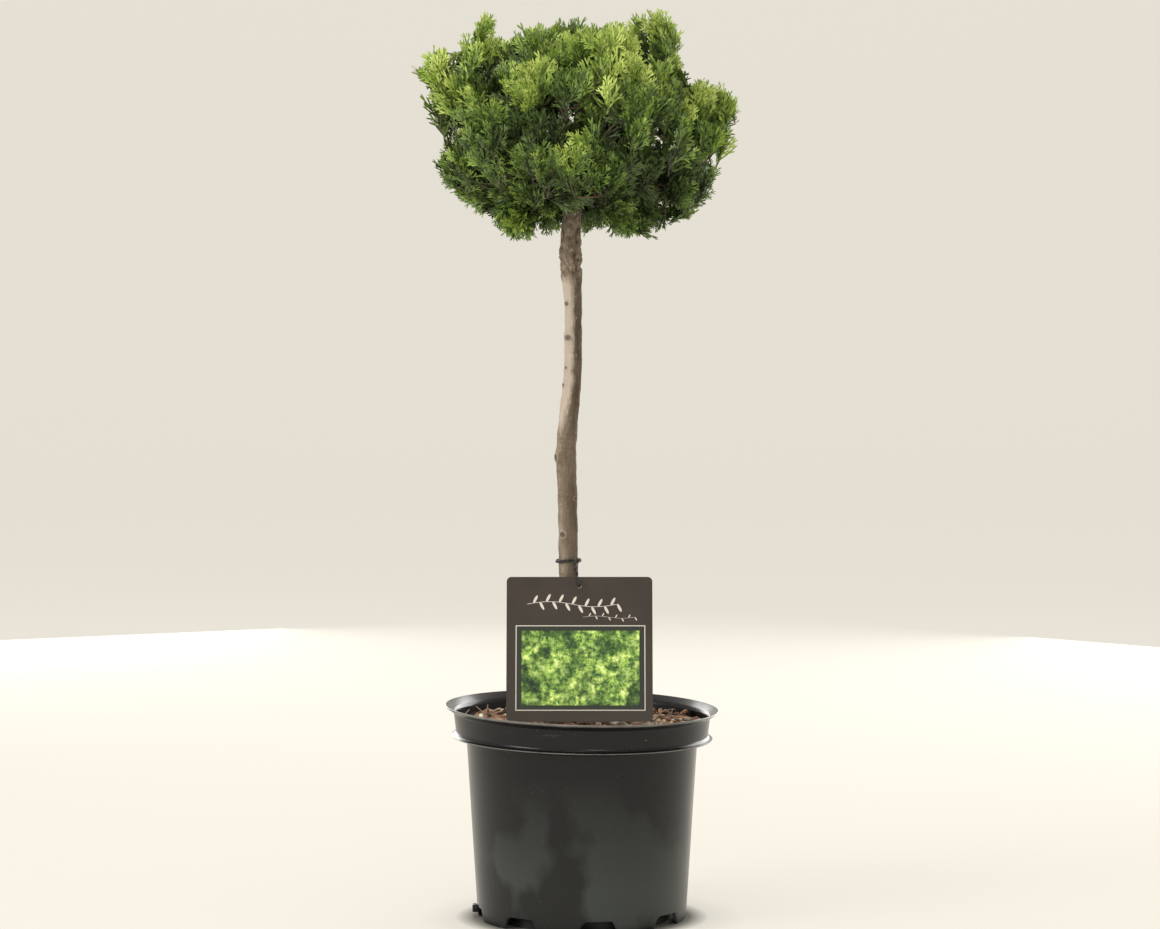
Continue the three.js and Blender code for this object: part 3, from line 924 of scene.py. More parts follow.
def bark_material(stem):
    """Grey-brown bark: pale weathered plates, dark fissures, a brown scion above the graft, painted light
    on the stem's left side and painted shade on its right.
    """
    material, shader = plain_material("bark", stem.bark, 0.85, 0.25)
    plates = placed_noise(material, 95, (1, 1, 0.22), 6, 0.68)
    rings = placed_noise(material, 70, (1, 1, 7), 4, 0.6)
    cloud = placed_noise(material, 24, (1, 1, 0.6), 3, 0.5)
    flecks = placed_noise(material, 520, (1, 1, 0.8), 3, 0.6)
    dark = tuple(0.42 * c for c in stem.bark)
    base = ramp(material, plates, [(0.30, dark), (0.47, stem.bark), (0.66, stem.pale_bark)])
    banded = ramp(material, rings, [(0.38, grey(0.45)), (0.50, grey(0))])
    base = mixed(material, banded, base, dark)
    weather = ramp(material, cloud, [(0.42, grey(0)), (0.66, grey(0.55))])
    base = mixed(material, weather, base, stem.pale_bark)
    light = ramp(material, flecks, [(0.62, grey(0)), (0.72, grey(0.75))])
    base = mixed(material, light, base, (0.56, 0.50, 0.42))
    scion_dark = tuple(0.3 * c for c in stem.scion_bark)
    scar = placed_noise(material, 260, (1, 1, 0.6), 5, 0.7)
    scion = ramp(material, scar, [(0.38, scion_dark), (0.50, stem.scion_bark), (0.68, stem.pale_bark)])
    blotches = placed_noise(material, 150, (1, 1, 0.7), 5, 0.65)
    # Painted light: the stem's left side lighter in blotches, most of all on the upper stem.
    lit_side = mixed(material, 0.45, attribute(material, "lit_side"), blotches)
    painted_light = ramp(material, lit_side, [(0.40, grey(0)), (0.62, grey(0.62))])
    base = mixed(material, painted_light, base, PAINTED_LIGHT_BARK)
    # Painted shade: the stem's right side darker, and the boughs, which lack the layer, darker all over.
    shaded = ramp(material, attribute(material, "lit_side"), [(0.15, grey(0.6)), (0.45, grey(0))])
    base = mixed(material, shaded, base, SHADED_BARK)
    marked = mixed(material, 0.35, attribute(material, "knot"), plates)
    rim = ramp(material, marked, [(0.30, grey(0)), (0.42, grey(0.55)), (0.56, grey(0))])
    base = mixed(material, rim, base, KNOT_RIM)
    core = ramp(material, marked, [(0.52, grey(0)), (0.70, grey(0.75))])
    base = mixed(material, core, base, KNOT_CORE)
    share = height_share(material, GRAFT_LOW - 6 * MM, GRAFT_LOW + 12 * MM)
    uneven = mixed(material, 0.35, share, flecks)
    edge = ramp(material, uneven, [(0.30, grey(0)), (0.62, grey(0.85))])
    link(material, mixed(material, edge, base, scion), shader, "Base Color")
    bumped(material, shader, plates, 0.55, 0.8 * MM)
    return material


# ---------------------------------------------------------------- crown and branching

MASS_TREE, MASS_OWNERS = cad_tree(MASSES)
HEART = Vector((-4 * MM, 0, 0.640))

# Thin spots on the crown's front where one looks into the dark inside: x, height, size.
HOLLOWS = (
    (-0.011, 0.688, 0.013), (0.064, 0.668, 0.016), (0.064, 0.611, 0.024), (-0.074, 0.701, 0.010),
    (-0.056, 0.722, 0.008), (-0.030, 0.668, 0.014), (-0.060, 0.672, 0.013), (0.026, 0.657, 0.012),
    (-0.024, 0.611, 0.014), (0.070, 0.646, 0.016), (0.012, 0.597, 0.012), (0.090, 0.628, 0.012),
)
# Tufts of the palest growth on the crown's front: x and height, all of one size.
PALE_TUFTS = (
    (-0.011, 0.647), (0.052, 0.674), (0.012, 0.697), (-0.120, 0.712), (-0.053, 0.584),
    (0.095, 0.692), (0.033, 0.727), (-0.045, 0.701), (-0.075, 0.725), (0.042, 0.594),
)
PALE_SIZE = 0.013
# Where twigs stand so far apart that the foliage is airy: middle and size.
AIRY = ((Vector((0.034, -0.040, 0.575)), 0.030), (Vector((0.130, 0.0, 0.665)), 0.022))
# Where the foliage stands proud of its mass or falls short of it: (x, height), size, shift.
SHIFTS = (
    ((-0.128, 0.674), 0.022, -0.009), ((0.086, 0.716), 0.020, -0.008),
    ((-0.105, 0.604), 0.024, -0.005), ((0.115, 0.606), 0.024, -0.006),
    ((-0.124, 0.721), 0.018, 0.006), ((0.040, 0.746), 0.014, 0.010),
    ((-0.080, 0.752), 0.010, 0.006), ((-0.136, 0.640), 0.016, -0.003),
)
# A plume that starts nearer than this to its mass's outside is moved in by a share of its
# distance from the heart, at most so many times.
PLUME_DEPTH = 3 * MM
INWARD_STEPS = 4
INWARD_SHARE = 0.04


def even_directions(count):
    """Directions spread evenly over all sides."""
    steps = np.arange(count)
    rise = 1 - 2 * (steps + 0.5) / count
    turn = math.pi * (3 - math.sqrt(5)) * steps
    flat = np.sqrt(1 - rise * rise)
    return np.stack([flat * np.cos(turn), flat * np.sin(turn), rise], axis=1)


def crown_outline():
    """Distances from the crown's heart to its outside, and how much of each cleft to fill."""
    ways, reach = even_directions(2600), []
    for way in ways:
        out = Vector(way)
        hit = MASS_TREE.ray_cast(HEART + out * 0.3, -out)[0]
        reach.append(max((hit - HEART).dot(out), 0.03) if hit else 0.03)
    reach = np.array(reach)
    near = ways @ ways.T > math.cos(math.radians(9))
    swollen = np.array([reach[row].max() for row in near])
    closed = np.array([swollen[row].min() for row in near])
    share = np.clip((np.abs(ways[:, 1]) - 0.2) / 0.3, 0, 1)
    return ways, reach, 0.9 * share * (closed - reach)


def outline_shift(point):
    """How much further than its mass the foliage reaches near a point."""
    return sum(
        shift * math.exp(-(math.hypot(point.x - x, point.z - z) / size) ** 2)
        for (x, z), size, shift in SHIFTS
    )


def outside_by(point):
    """How far a point stands out of the foliage masses; less than 0 inside them."""
    near, normal, _, distance = MASS_TREE.find_nearest(point)
    return (distance if (point - near).dot(normal) > 0 else -distance) - outline_shift(point)


def outline_reach(outline, point):
    """Reach of the crown from its heart towards a point, and the depth of cleft filled there."""
    ways, reach, filled = outline
    nearest = np.argmax(ways @ np.array((point - HEART).normalized()))
    far = float(reach[nearest] + filled[nearest])
    edge = HEART + (point - HEART).normalized() * far
    return far + outline_shift(edge), float(filled[nearest])


def hollow_share(point):
    """1 in the middle of a hollow of the front, 0 away from it."""
    if point.y > -20 * MM:
        return 0.0
    return max(
        math.exp(-(math.hypot(point.x - x, point.z - z) / size) ** 4) for x, z, size in HOLLOWS
    )


def thin_share(point):
    """How thinly the crown is clothed: airy at the right end and low on the right."""
    return max(0.75 * math.exp(-((point - spot).length / size) ** 2) for spot, size in AIRY)


def pale_share(point):
    """1 in the middle of a pale tuft of the front, 0 away from it."""
    if point.y > 10 * MM:
        return 0.0
    return max(
        math.exp(-(math.hypot(point.x - x, point.z - z) / PALE_SIZE) ** 2) for x, z in PALE_TUFTS
    )


def growth_direction(outwards, rng):
    """Way a twig grows near the crown's outside: out and up, hanging a little low down."""
    rising = UP - outwards * outwards.z
    lift = min(max(1.0 + 1.6 * outwards.z, -0.30), 1.0)
    swerve = Vector(rng.normal(0, 0.22, 3))
    return (outwards * 0.60 + rising * lift + swerve).normalized()


def crown_twig_ends(foliage, outline, rng):
    """Twig ends spread under the crown's outside, by mass: end, heading, outwards and recess."""
    taken, ends = [], {node: [] for node in MASSES}
    for way in rng.normal(size=(foliage.tries, 3)):
        outwards = Vector(way).normalized()
        surface = HEART + outwards * outline_reach(outline, HEART + outwards)[0]
        if rng.random() < thin_share(surface):
            continue
        if any((surface - other).length < foliage.twig_spacing for other in taken):
            continue
        taken.append(surface)
        heading = growth_direction(outwards, rng)
        recess = min(max(rng.normal(1.5, 4.5), -3), 13) * MM + 34 * MM * hollow_share(surface)
        point = surface - outwards * recess - heading * foliage.plume_length
        for _ in range(INWARD_STEPS):
            if outside_by(point) > -PLUME_DEPTH:
                point += (HEART - point) * INWARD_SHARE
        owner = MASS_OWNERS[MASS_TREE.find_nearest(surface)[2]]
        ends[owner].append((point, heading, outwards, recess))
    return ends


def grow(start, heading, ends):
    """Joins twig ends to a limb, nearest first, each to the best place on what has grown."""
    nodes, parents, ways = [start], [-1], [heading]
    tips = []
    order = sorted(range(len(ends)), key=lambda i: (ends[i][0] - start).length)
    for i in order:
        goal = ends[i][0]
        best, cost = 0, 1e9
        for k, place in enumerate(nodes):
            gap = goal - place
            if gap.length < 1e-6:
                continue
            turn = 1 - ways[k].dot(gap.normalized())
            price = gap.length * (1 + 0.9 * turn)
            if price < cost:
                best, cost = k, price
        origin = nodes[best]
        gap = goal - origin
        pieces = max(int(gap.length / (9 * MM)), 1)
        sag = ways[best] * gap.length * 0.22
        last = best
        for step in range(1, pieces + 1):
            t = step / pieces
            point = origin + gap * t + sag * math.sin(math.pi * t) * 0.5
            ways.append((point - nodes[last]).normalized())
            nodes.append(point)
            parents.append(last)
            last = len(nodes) - 1
        tips.append((i, last))
    return nodes, parents, tips


def twig_lines(nodes, parents, tips, ends, start_radius, plume_length):
    """Lines of (point, radius) for the grown twigs, thicker where they carry more."""
    load = [0] * len(nodes)
    for _, last in tips:
        k = last
        while k >= 0:
            load[k] += 1
            k = parents[k]
    most = max(load[0], 1)
    tip_radius = 0.6 * MM
    radius = [
        tip_radius + (start_radius - tip_radius) * (max(n - 1, 0) / most) ** 0.62 for n in load
    ]
    lines, used = [], set()
    for i, last in sorted(tips, key=lambda tip: -tip[1]):
        point, heading = ends[i][:2]
        end = point + heading * plume_length * 0.42
        line, k = ([(end, 0.35 * MM)] if outside_by(end) < -5 * MM else []), last
        while k >= 0 and k not in used:
            line.append((nodes[k], radius[k]))
            used.add(k)
            k = parents[k]
        if k >= 0:
            line.append((nodes[k], min(radius[k], line[-1][1] * 1.3) if line else radius[k]))
        if len(line) > 1:
            lines.append(line)
    return lines


# ---------------------------------------------------------------- sprays

TEMPLATES = 8


def add_blade(bm, start, end, width, tint, roll):
    """One scaly branchlet: a blunt six-sided blade from start to end, in the spray's plane."""
    along = end - start
    matrix = (
        Matrix.Translation((start + end) / 2)
        @ Matrix.Rotation(math.atan2(along.y, along.x), 4, "Z")
        @ Matrix.Rotation(roll, 4, "X")
        @ Matrix.Diagonal((along.length * 0.577, width * 0.5, 1, 1))
        @ Matrix.Rotation(math.radians(30), 4, "Z")
    )
    made = bmesh.ops.create_circle(bm, cap_ends=True, segments=6, radius=1, matrix=matrix)["verts"]
    for face in made[0].link_faces:
        face.material_index = tint


def spray_template(foliage, rng):
    """A flat fan: a curved axis with side shoots and their own short shoots, oldest at the foot."""
    bm = bmesh.new()
    length, width = foliage.spray_length, foliage.blade_width
    step = length / 6

    def shoot(point, heading, reach, rank, curl):
        count = max(int(round(reach / step)), 1)
        side = 1 if rng.random() < 0.5 else -1
        for i in range(count):
            end = point + Vector((math.cos(heading), math.sin(heading), 0)) * step
            out = end.x / length
            tint = 2 if out > 0.86 or (rank and i == count - 1 and out > 0.45) else int(out > 0.3)
            lap = (end - point) * 0.14
            slim = 0.8 if i == count - 1 else 1.0
            add_blade(bm, point - lap, end + lap, width * slim, tint, rng.normal(0, 0.5))
            rest = reach - step * (i + 0.5)
            if rank == 0 and i < count - 1:
                for hand in (side, -side):
                    if hand == side or rng.random() < 0.62:
                        away = heading + hand * rng.uniform(0.38, 0.66)
                        bend = -hand * rng.uniform(0.04, 0.14)
                        shoot(end, away, rest * rng.uniform(0.46, 0.70), 1, bend)
            elif rank == 1 and count - 1 > i:
                away = heading + side * rng.uniform(0.40, 0.65)
                shoot(end, away, step, 2, 0)
            point = end
            heading += curl + rng.normal(0, 0.07)
            side = -side

    shoot(Vector((0, 0, 0)), 0.0, length, 0, rng.normal(0, 0.06))
    cup, droop = rng.uniform(0.004, 0.014) / MM, rng.uniform(-0.006, 0.006) / MM
    for v in bm.verts:
        v.co.z += cup * v.co.y ** 2 + droop * v.co.x ** 2 + rng.normal(0, 0.2 * MM)
    arrays = mesh_arrays(bm)
    bm.free()
    return arrays


def spray_place(point, heading, outwards, size, rng):
    """Place of a spray: its axis on the heading, its fan's upper face turned outwards."""
    across = outwards.cross(heading)
    if across.length < 0.1:
        across = heading.orthogonal()
    across.normalize()
    across = Matrix.Rotation(rng.normal(0, 0.85), 3, heading) @ across
    normal = heading.cross(across)
    if normal.dot(outwards + UP * 0.3) < 0:
        across, normal = -across, -normal
    turn = np.eye(4)
    for column, axis in enumerate((heading, across, normal)):
        turn[:3, column] = np.array(axis) * size
    turn[:3, 3] = point
    return turn


def tint_level(tip, outwards, recess, inner, rng):
    """Tint of a spray, 0 shaded to 3 lime: lighter on top as painted light, outside as young growth and
    painted light, and in pale tufts; darker inside and in recesses and hollows as older growth and painted
    shade.
    """
    far = (tip - HEART).length / 0.13
    # Painted light and shade: a spray that faces up is lighter, one that is recessed, inside or in a hollow
    # darker.
    light = 0.95 + 0.8 * max(outwards.z, -0.1) + 2.4 * (far - 0.8) + 1.8 * pale_share(tip)
    light += rng.normal(0, 0.55) - 85 * recess - 1.5 * inner - 1.5 * hollow_share(tip)
    return int(min(max(round(light), 0), 3))


def dress_plume(end, outline, foliage, rng, add):
    """Sprays up both sides of a twig's last stretch, longest in its middle, and one at its end."""
    point, heading, outwards, recess = end
    across = outwards.cross(heading).normalized()
    shift = rng.normal(0, 0.35)
    for k in range(foliage.sprays_per_twig):
        share = k / (foliage.sprays_per_twig - 1)
        hand = 0 if share == 1 else (1 if k % 2 else -1)
        spread = hand * rng.uniform(0.25, 0.80) * (1 - 0.45 * share)
        way = heading + across * spread + outwards * rng.normal(0.05, 0.30)
        way = (way + Vector(rng.normal(0, 0.12, 3))).normalized()
        start = point + heading * foliage.plume_length * 0.45 * share
        wanted = foliage.plume_length * (1.02 - 0.42 * share) * (1 - 0.22 * abs(spread))
        wanted *= rng.uniform(0.85, 1.15)
        tip = start + way * wanted
        room, filled = outline_reach(outline, tip)
        room += rng.normal(1.5, 2.0) * MM - recess
        proud = rng.uniform(-7.0, 0.5) * MM + max(outwards.z, 0) * 3.5 * MM
        while wanted > 10 * MM and ((tip - HEART).length > room or outside_by(tip) > filled + proud):
            wanted -= 1.5 * MM
            tip = start + way * wanted
        if outside_by(tip) > filled + 1.5 * MM:
            continue
        level = tint_level(tip, outwards, recess + shift * 8 * MM, 0, rng)
        add(start, way, outwards, wanted / foliage.spray_length, level)


def dress_inside(nodes, parents, foliage, rng, add):
    """Old, shaded sprays on the twigs inside the crown."""
    for k in range(2, len(nodes)):
        way = (nodes[k] - nodes[parents[k]]).normalized()
        outwards = (nodes[k] - HEART).normalized()
        for _ in range(foliage.inner_sprays):
            lean = (way * 0.5 + outwards * 0.6 + Vector(rng.normal(0, 0.6, 3))).normalized()
            size = rng.uniform(0.8, 1.1)
            if outside_by(nodes[k] + lean * size * foliage.spray_length) < -9 * MM:
                add(nodes[k], lean, outwards, size, 0)


def build_foliage(foliage, stem):
    """Grows twigs from every bough and clothes them with sprays, one joined piece a mass."""
    rng = np.random.default_rng(foliage.seed)
    templates = [spray_template(foliage, rng) for _ in range(TEMPLATES)]
    materials = foliage_materials(foliage)
    starts = {}
    for node in BOUGHS:
        rows, outwards = bough_line(node)
        starts[node.replace("bough_", "mass_")] = (Vector(rows[-1, :3]), outwards, rows[-1, 3])
    outline = crown_outline()
    twigs = []
    for node, ends in crown_twig_ends(foliage, outline, rng).items():
        start = starts.get(node)
        if start is None:
            middle = sum(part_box(node), Vector()) / 2
            start = min(starts.values(), key=lambda s: (s[0] - middle).length)
        picks, places, levels = [], [], []

        def add(point, heading, outwards, size, level):
            picks.append(rng.integers(0, TEMPLATES))
            places.append(spray_place(point, heading, outwards, size, rng))
            levels.append(level)

        nodes, parents, tips = grow(start[0], start[1], ends)
        twigs += twig_lines(nodes, parents, tips, ends, start[2] * 0.95, foliage.plume_length)
        for end in ends:
            dress_plume(end, outline, foliage, rng, add)
        dress_inside(nodes, parents, foliage, rng, add)
        arrays = copies(templates, np.array(picks), np.array(places), np.array(levels))
        name = node.replace("mass_", "foliage_")
        add_piece(name, mesh_from_arrays(name, *arrays), materials, [node])
    piece = add_piece("twigs", wires("twigs", twigs, 0), [twig_material(stem)])
    smooth_shading(piece, 80)


def foliage_materials(foliage):
    """Plain tints from shade to tip; a spray of one level uses three that follow each other."""
    made = []
    for name in ("shade", "deep", "mature", "fresh", "lime", "tip"):
        material, _ = plain_material(f"leaf_{name}", getattr(foliage, name), 0.5, 0.4)
        made.append(material)
    return made


def twig_material(stem):
    """Brown twigs, lighter in random patches."""
    brown = tuple(0.45 * c for c in stem.scion_bark)
    material, shader = plain_material("twig_bark", brown, 0.8, 0.25)
    tone = placed_noise(material, 70, detail=4)
    pale = tuple(1.9 * c for c in brown)
    link(material, ramp(material, tone, [(0.35, brown), (0.7, pale)]), shader, "Base Color")
    bumped(material, shader, placed_noise(material, 600), 0.4, 0.4 * MM)
    return material


# ---------------------------------------------------------------- hang tag

# The tie's hole: how far its middle is below the card's upper edge, and its radius.
HOLE_DROP = 8 * MM
HOLE_RADIUS = 1.6 * MM


def tag_frame():
    """Place of the card: its top edge's middle, leaning forward at the foot; its sizes too."""
    low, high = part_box("label_card")
    lean = math.atan2(high.y - low.y - 0.8 * MM, high.z - low.z)
    width, height = high.x - low.x, math.hypot(high.y - low.y, high.z - low.z)
    right = Vector((1, 0, 0))
    upwards = Vector((0, math.sin(lean), math.cos(lean)))
    front = right.cross(upwards)
    origin = Vector(((low.x + high.x) / 2, high.y - 0.8 * MM, high.z + 0.8 * MM))
    place = Matrix((
        (right.x, upwards.x, front.x, origin.x),
        (right.y, upwards.y, front.y, origin.y),
        (right.z, upwards.z, front.z, origin.z),
        (0, 0, 0, 1),
    ))
    return place, width, height


def rounded_card(bm, left, right, low, high, radius, depth, thickness):
    """A thin closed card with rounded corners, its back at depth, in the tag's own plane."""
    ring = bmesh.ops.create_circle(bm, cap_ends=True, segments=48, radius=radius)["verts"]
    middle_x, middle_y = (left + right) / 2, (low + high) / 2
    for v in ring:
        v.co.x += math.copysign((right - left) / 2 - radius, v.co.x) + middle_x
        v.co.y += math.copysign((high - low) / 2 - radius, v.co.y) + middle_y
        v.co.z = depth
    face = ring[0].link_faces[0]
    top = bmesh.ops.extrude_face_region(bm, geom=[face])["geom"]
    for v in (g for g in top if isinstance(g, bmesh.types.BMVert)):
        v.co.z += thickness
    return ring


def build_tag(tag):
    """The card with its hole, printed line frame, picture panel and plain sprig ornament."""
    place, width, height = tag_frame()
    thickness = 0.7 * MM
    bm = bmesh.new()
    outer = bmesh.ops.create_circle(bm, segments=64, radius=4 * MM)
    for v in outer["verts"]:
        v.co.x += math.copysign(width / 2 - 4 * MM, v.co.x)
        v.co.y += math.copysign(height / 2 - 4 * MM, v.co.y) - height / 2
    middle = Matrix.Translation((0, -HOLE_DROP, 0))
    hole = bmesh.ops.create_circle(bm, segments=64, radius=HOLE_RADIUS, matrix=middle)
    edges = list({e for v in outer["verts"] + hole["verts"] for e in v.link_edges})
    bmesh.ops.bridge_loops(bm, edges=edges)
    bmesh.ops.recalc_face_normals(bm, faces=bm.faces)
    bmesh.ops.solidify(bm, geom=bm.faces[:], thickness=thickness)
    for v in bm.verts:
        v.co.z = 0 if v.co.z < thickness * 0.2 and v.co.z > -thickness * 0.2 else thickness
    bmesh.ops.recalc_face_normals(bm, faces=bm.faces)
    bm.transform(place)
    add_piece("tag_card", bm, [card_material(tag)], ["label_card"])
    build_print(tag, place, width, height, thickness)


def build_print(tag, place, width, height, depth):
    """Everything printed on the card, a hair's breadth proud of it."""
    frame_box = (-width * 0.437, width * 0.450, -height * 0.925, -height * 0.337)
    line = tag.line_width
    bm = bmesh.new()
    left, right, low, high = frame_box
    for box in (
        (left, right, high - line, high), (left, right, low, low + line),
        (left, left + line, low + line, high - line), (right - line, right, low + line, high - line),
    ):
        rounded_card(bm, *box, line * 0.2, depth, 0.12 * MM)
    for number in range(2):
        add_sprig(bm, width, height, depth, number)
    bmesh.ops.recalc_face_normals(bm, faces=bm.faces)
    bm.transform(place)
    material, _ = plain_material("tag_print", tag.ink, 0.5)
    add_piece("tag_line", bm, [material])
    inset = 2.2 * MM
    bm = bmesh.new()
    rounded_card(bm, left + line, right - line, low + line, high - line, 0.2 * MM, depth, 0.04 * MM)
    bmesh.ops.recalc_face_normals(bm, faces=bm.faces)
    bm.transform(place)
    border, _ = plain_material("tag_border", (0.012, 0.016, 0.006), 0.5)
    add_piece("tag_border", bm, [border])
    bm = bmesh.new()
    rounded_card(
        bm, left + line + 1.9 * inset, right - line - 1.9 * inset,
        low + line + 1.7 * inset, high - line - 1.7 * inset, 0.2 * MM, depth, 0.09 * MM,
    )
    bmesh.ops.recalc_face_normals(bm, faces=bm.faces)
    bm.transform(place)
    add_piece("tag_picture", bm, [picture_material()])


def add_sprig(bm, width, height, depth, number):
    """A plain ornament: a thin waved stalk with small leaves on both sides."""
    span = width * (0.62 if number == 0 else 0.36)
    start = Vector((-width * 0.36 if number == 0 else width * 0.02, -height * (0.190 + 0.090 * number), 0))
    count = 15 if number == 0 else 9
    scale = 1.0 if number == 0 else 0.45
    last = None
    for i in range(count):
        t = i / (count - 1)
        wave = math.sin(t * math.pi * 2) * 2.2 * MM * scale
        point = start + Vector((span * t, wave, 0))
        if last is not None:
            add_leaf(bm, last, point, 0.45 * MM * scale, depth)
            lift = Vector((3.2, 6.2 * (1 if i % 2 else -1), 0)) * MM * scale
            add_leaf(bm, point, point + lift, 2.3 * MM * scale, depth)
        last = point


def add_leaf(bm, start, end, width, depth):
    """A pointed lens from start to end, as thin as ink."""
    along = end - start
    matrix = (
        Matrix.Translation((start + end) / 2 + Vector((0, 0, depth)))
        @ Matrix.Rotation(math.atan2(along.y, along.x), 4, "Z")
        @ Matrix.Diagonal((along.length * 0.56, width / 2, 1, 1))
    )
    ring = bmesh.ops.create_circle(bm, cap_ends=True, segments=10, radius=1, matrix=matrix)["verts"]
    top = bmesh.ops.extrude_face_region(bm, geom=[ring[0].link_faces[0]])["geom"]
    for v in (g for g in top if isinstance(g, bmesh.types.BMVert)):
        v.co.z += 0.12 * MM


def card_material(tag):
    """Semi-gloss dark brown card with faint rubbing."""
    material, shader = plain_material("tag_card", tag.card, 0.38)
    cloud = placed_noise(material, 30, detail=5, roughness=0.6)
    pale = tuple(1.25 * c for c in tag.card)
    link(material, ramp(material, cloud, [(0.35, tag.card), (0.75, pale)]), shader, "Base Color")
    gloss = ramp(material, cloud, [(0.3, grey(0.32)), (0.7, grey(0.46))])
    link(material, gloss, shader, "Roughness")
    return material


def picture_material():
    """A generic print of fresh foliage: lime tufts with dark gaps."""
    material, shader = plain_material("tag_picture", (0.3, 0.5, 0.08), 0.35)
    tufts = placed_noise(material, 150, detail=8, roughness=0.78)
    clumps = placed_noise(material, 60, detail=4, roughness=0.6)
    leaves = ramp(material, tufts, [
        (0.40, (0.025, 0.065, 0.020)), (0.47, (0.110, 0.240, 0.040)),
        (0.53, (0.340, 0.540, 0.085)), (0.61, (0.720, 0.850, 0.340)),
    ])
    depth = ramp(material, clumps, [(0.42, (0.20, 0.30, 0.18)), (0.50, (1.0, 1.0, 1.0))])
    tree = material.node_tree
    place, fans = tree.nodes.new("ShaderNodeTexCoord"), tree.nodes.new("ShaderNodeTexVoronoi")
    fans.feature = "SMOOTH_F1"
    fans.inputs["Scale"].default_value = 70
    tree.links.new(place.outputs["Object"], fans.inputs["Vector"])
    domes = ramp(material, fans.outputs["Distance"], [(0.30, (1.15, 1.1, 1.0)), (0.75, (0.22, 0.34, 0.22))])
    leaves = mixed(material, 1.0, leaves, depth, "MULTIPLY")
    link(material, mixed(material, 1.0, leaves, domes, "MULTIPLY"), shader, "Base Color")
    return material


def build_tie():
    """Black twist wire: two strands round the stem and down through the card's hole."""
    _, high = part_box("label_tie")
    level = high.z - 0.9 * MM
    x, y, radius = stem_at(level)
    loop = radius + 1.9 * MM
    place, _, _ = tag_frame()
    hole = place @ Vector((0, -HOLE_DROP, 0))
    path = [
        Vector((x + loop * math.cos(a), y + loop * math.sin(a), level + 0.8 * MM * math.sin(a * 1.5)))
        for a in np.linspace(math.radians(-50), math.radians(300), 40)
    ]
    knot = Vector((x + 5 * MM, y - loop - 0.4 * MM, level))
    tail = [
        knot, knot + Vector((1.2, -1.8, -5.5)) * MM, knot + Vector((2.2, -2.6, -12)) * MM,
        hole + Vector((-0.6, -3.4, 3.2)) * MM, hole + Vector((0, -1.6, 0.6)) * MM,
        hole + Vector((0, 0.9, 0.3)) * MM,
    ]
    path += smooth_line(tail, 7)
    lines = []
    for strand in (0, math.pi):
        line, along = [], 0.0
        for before, point in zip(path, path[1:]):
            along += (point - before).length
            way = (point - before).normalized()
            across = way.orthogonal().normalized()
            other = way.cross(across)
            twist = along / (1.35 * MM) + strand
            offset = (across * math.cos(twist) + other * math.sin(twist)) * 0.75 * MM
            line.append((point + offset, 0.72 * MM))
        lines.append(line)
    material, shader = plain_material("tie_coating", (0.012, 0.012, 0.012), 0.45)
    gloss = ramp(material, placed_noise(material, 500), [(0.3, grey(0.35)), (0.7, grey(0.6))])
    link(material, gloss, shader, "Roughness")
    piece = add_piece("twist_tie", wires("twist_tie", lines, 2), [material], ["label_tie"])
    smooth_shading(piece, 70)


def smooth_line(points, per_span):
    """A smooth line through points, with some places in every span."""
    padded = [points[0] * 2 - points[1], *points, points[-1] * 2 - points[-2]]
    made = []
    for a, b, c, d in zip(padded, padded[1:], padded[2:], padded[3:]):
        for i in range(per_span):
            t = i / per_span
            made.append(0.5 * (
                2 * b + (c - a) * t + (2 * a - 5 * b + 4 * c - d) * t * t
                + (3 * b - a - 3 * c + d) * t * t * t
            ))
    made.append(points[-1])
    return made


# ---------------------------------------------------------------- stage


# The floor's sheet: its front edge, the foot of the sweep and its radius, the height of the
# wall over it, and half its width. The wall stands beyond a camera that looks from behind.
FLOOR_FRONT = -6.0
SWEEP_FOOT = 4.6
SWEEP_RADIUS = 1.2
WALL_HEIGHT = 5.0
FLOOR_HALF = 7.0
# Panels of light: name, place, aim, size, power in watts, colour.
LIGHTS = (
    ("overhead", (-0.2, -0.3, 2.4), (0, 0, 0.5), (1.5, 1.5), 24, (1.0, 0.98, 0.94)),
    ("key_left", (-2.3, -1.5, 1.4), (0, 0, 0.5), (1.2, 1.2), 46, (1.0, 0.98, 0.95)),
    ("fill_front", (0.7, -3.2, 0.9), (0, 0, 0.5), (1.0, 1.0), 20, (1.0, 0.99, 0.97)),
    ("edge_left", (-0.75, 1.95, 0.6), (0, 0, 0.4), (0.8, 1.6), 20, (1.0, 0.99, 0.97)),
    ("edge_right", (1.15, 1.55, 0.6), (0, 0, 0.4), (1.5, 1.6), 36, (1.0, 0.99, 0.97)),
)


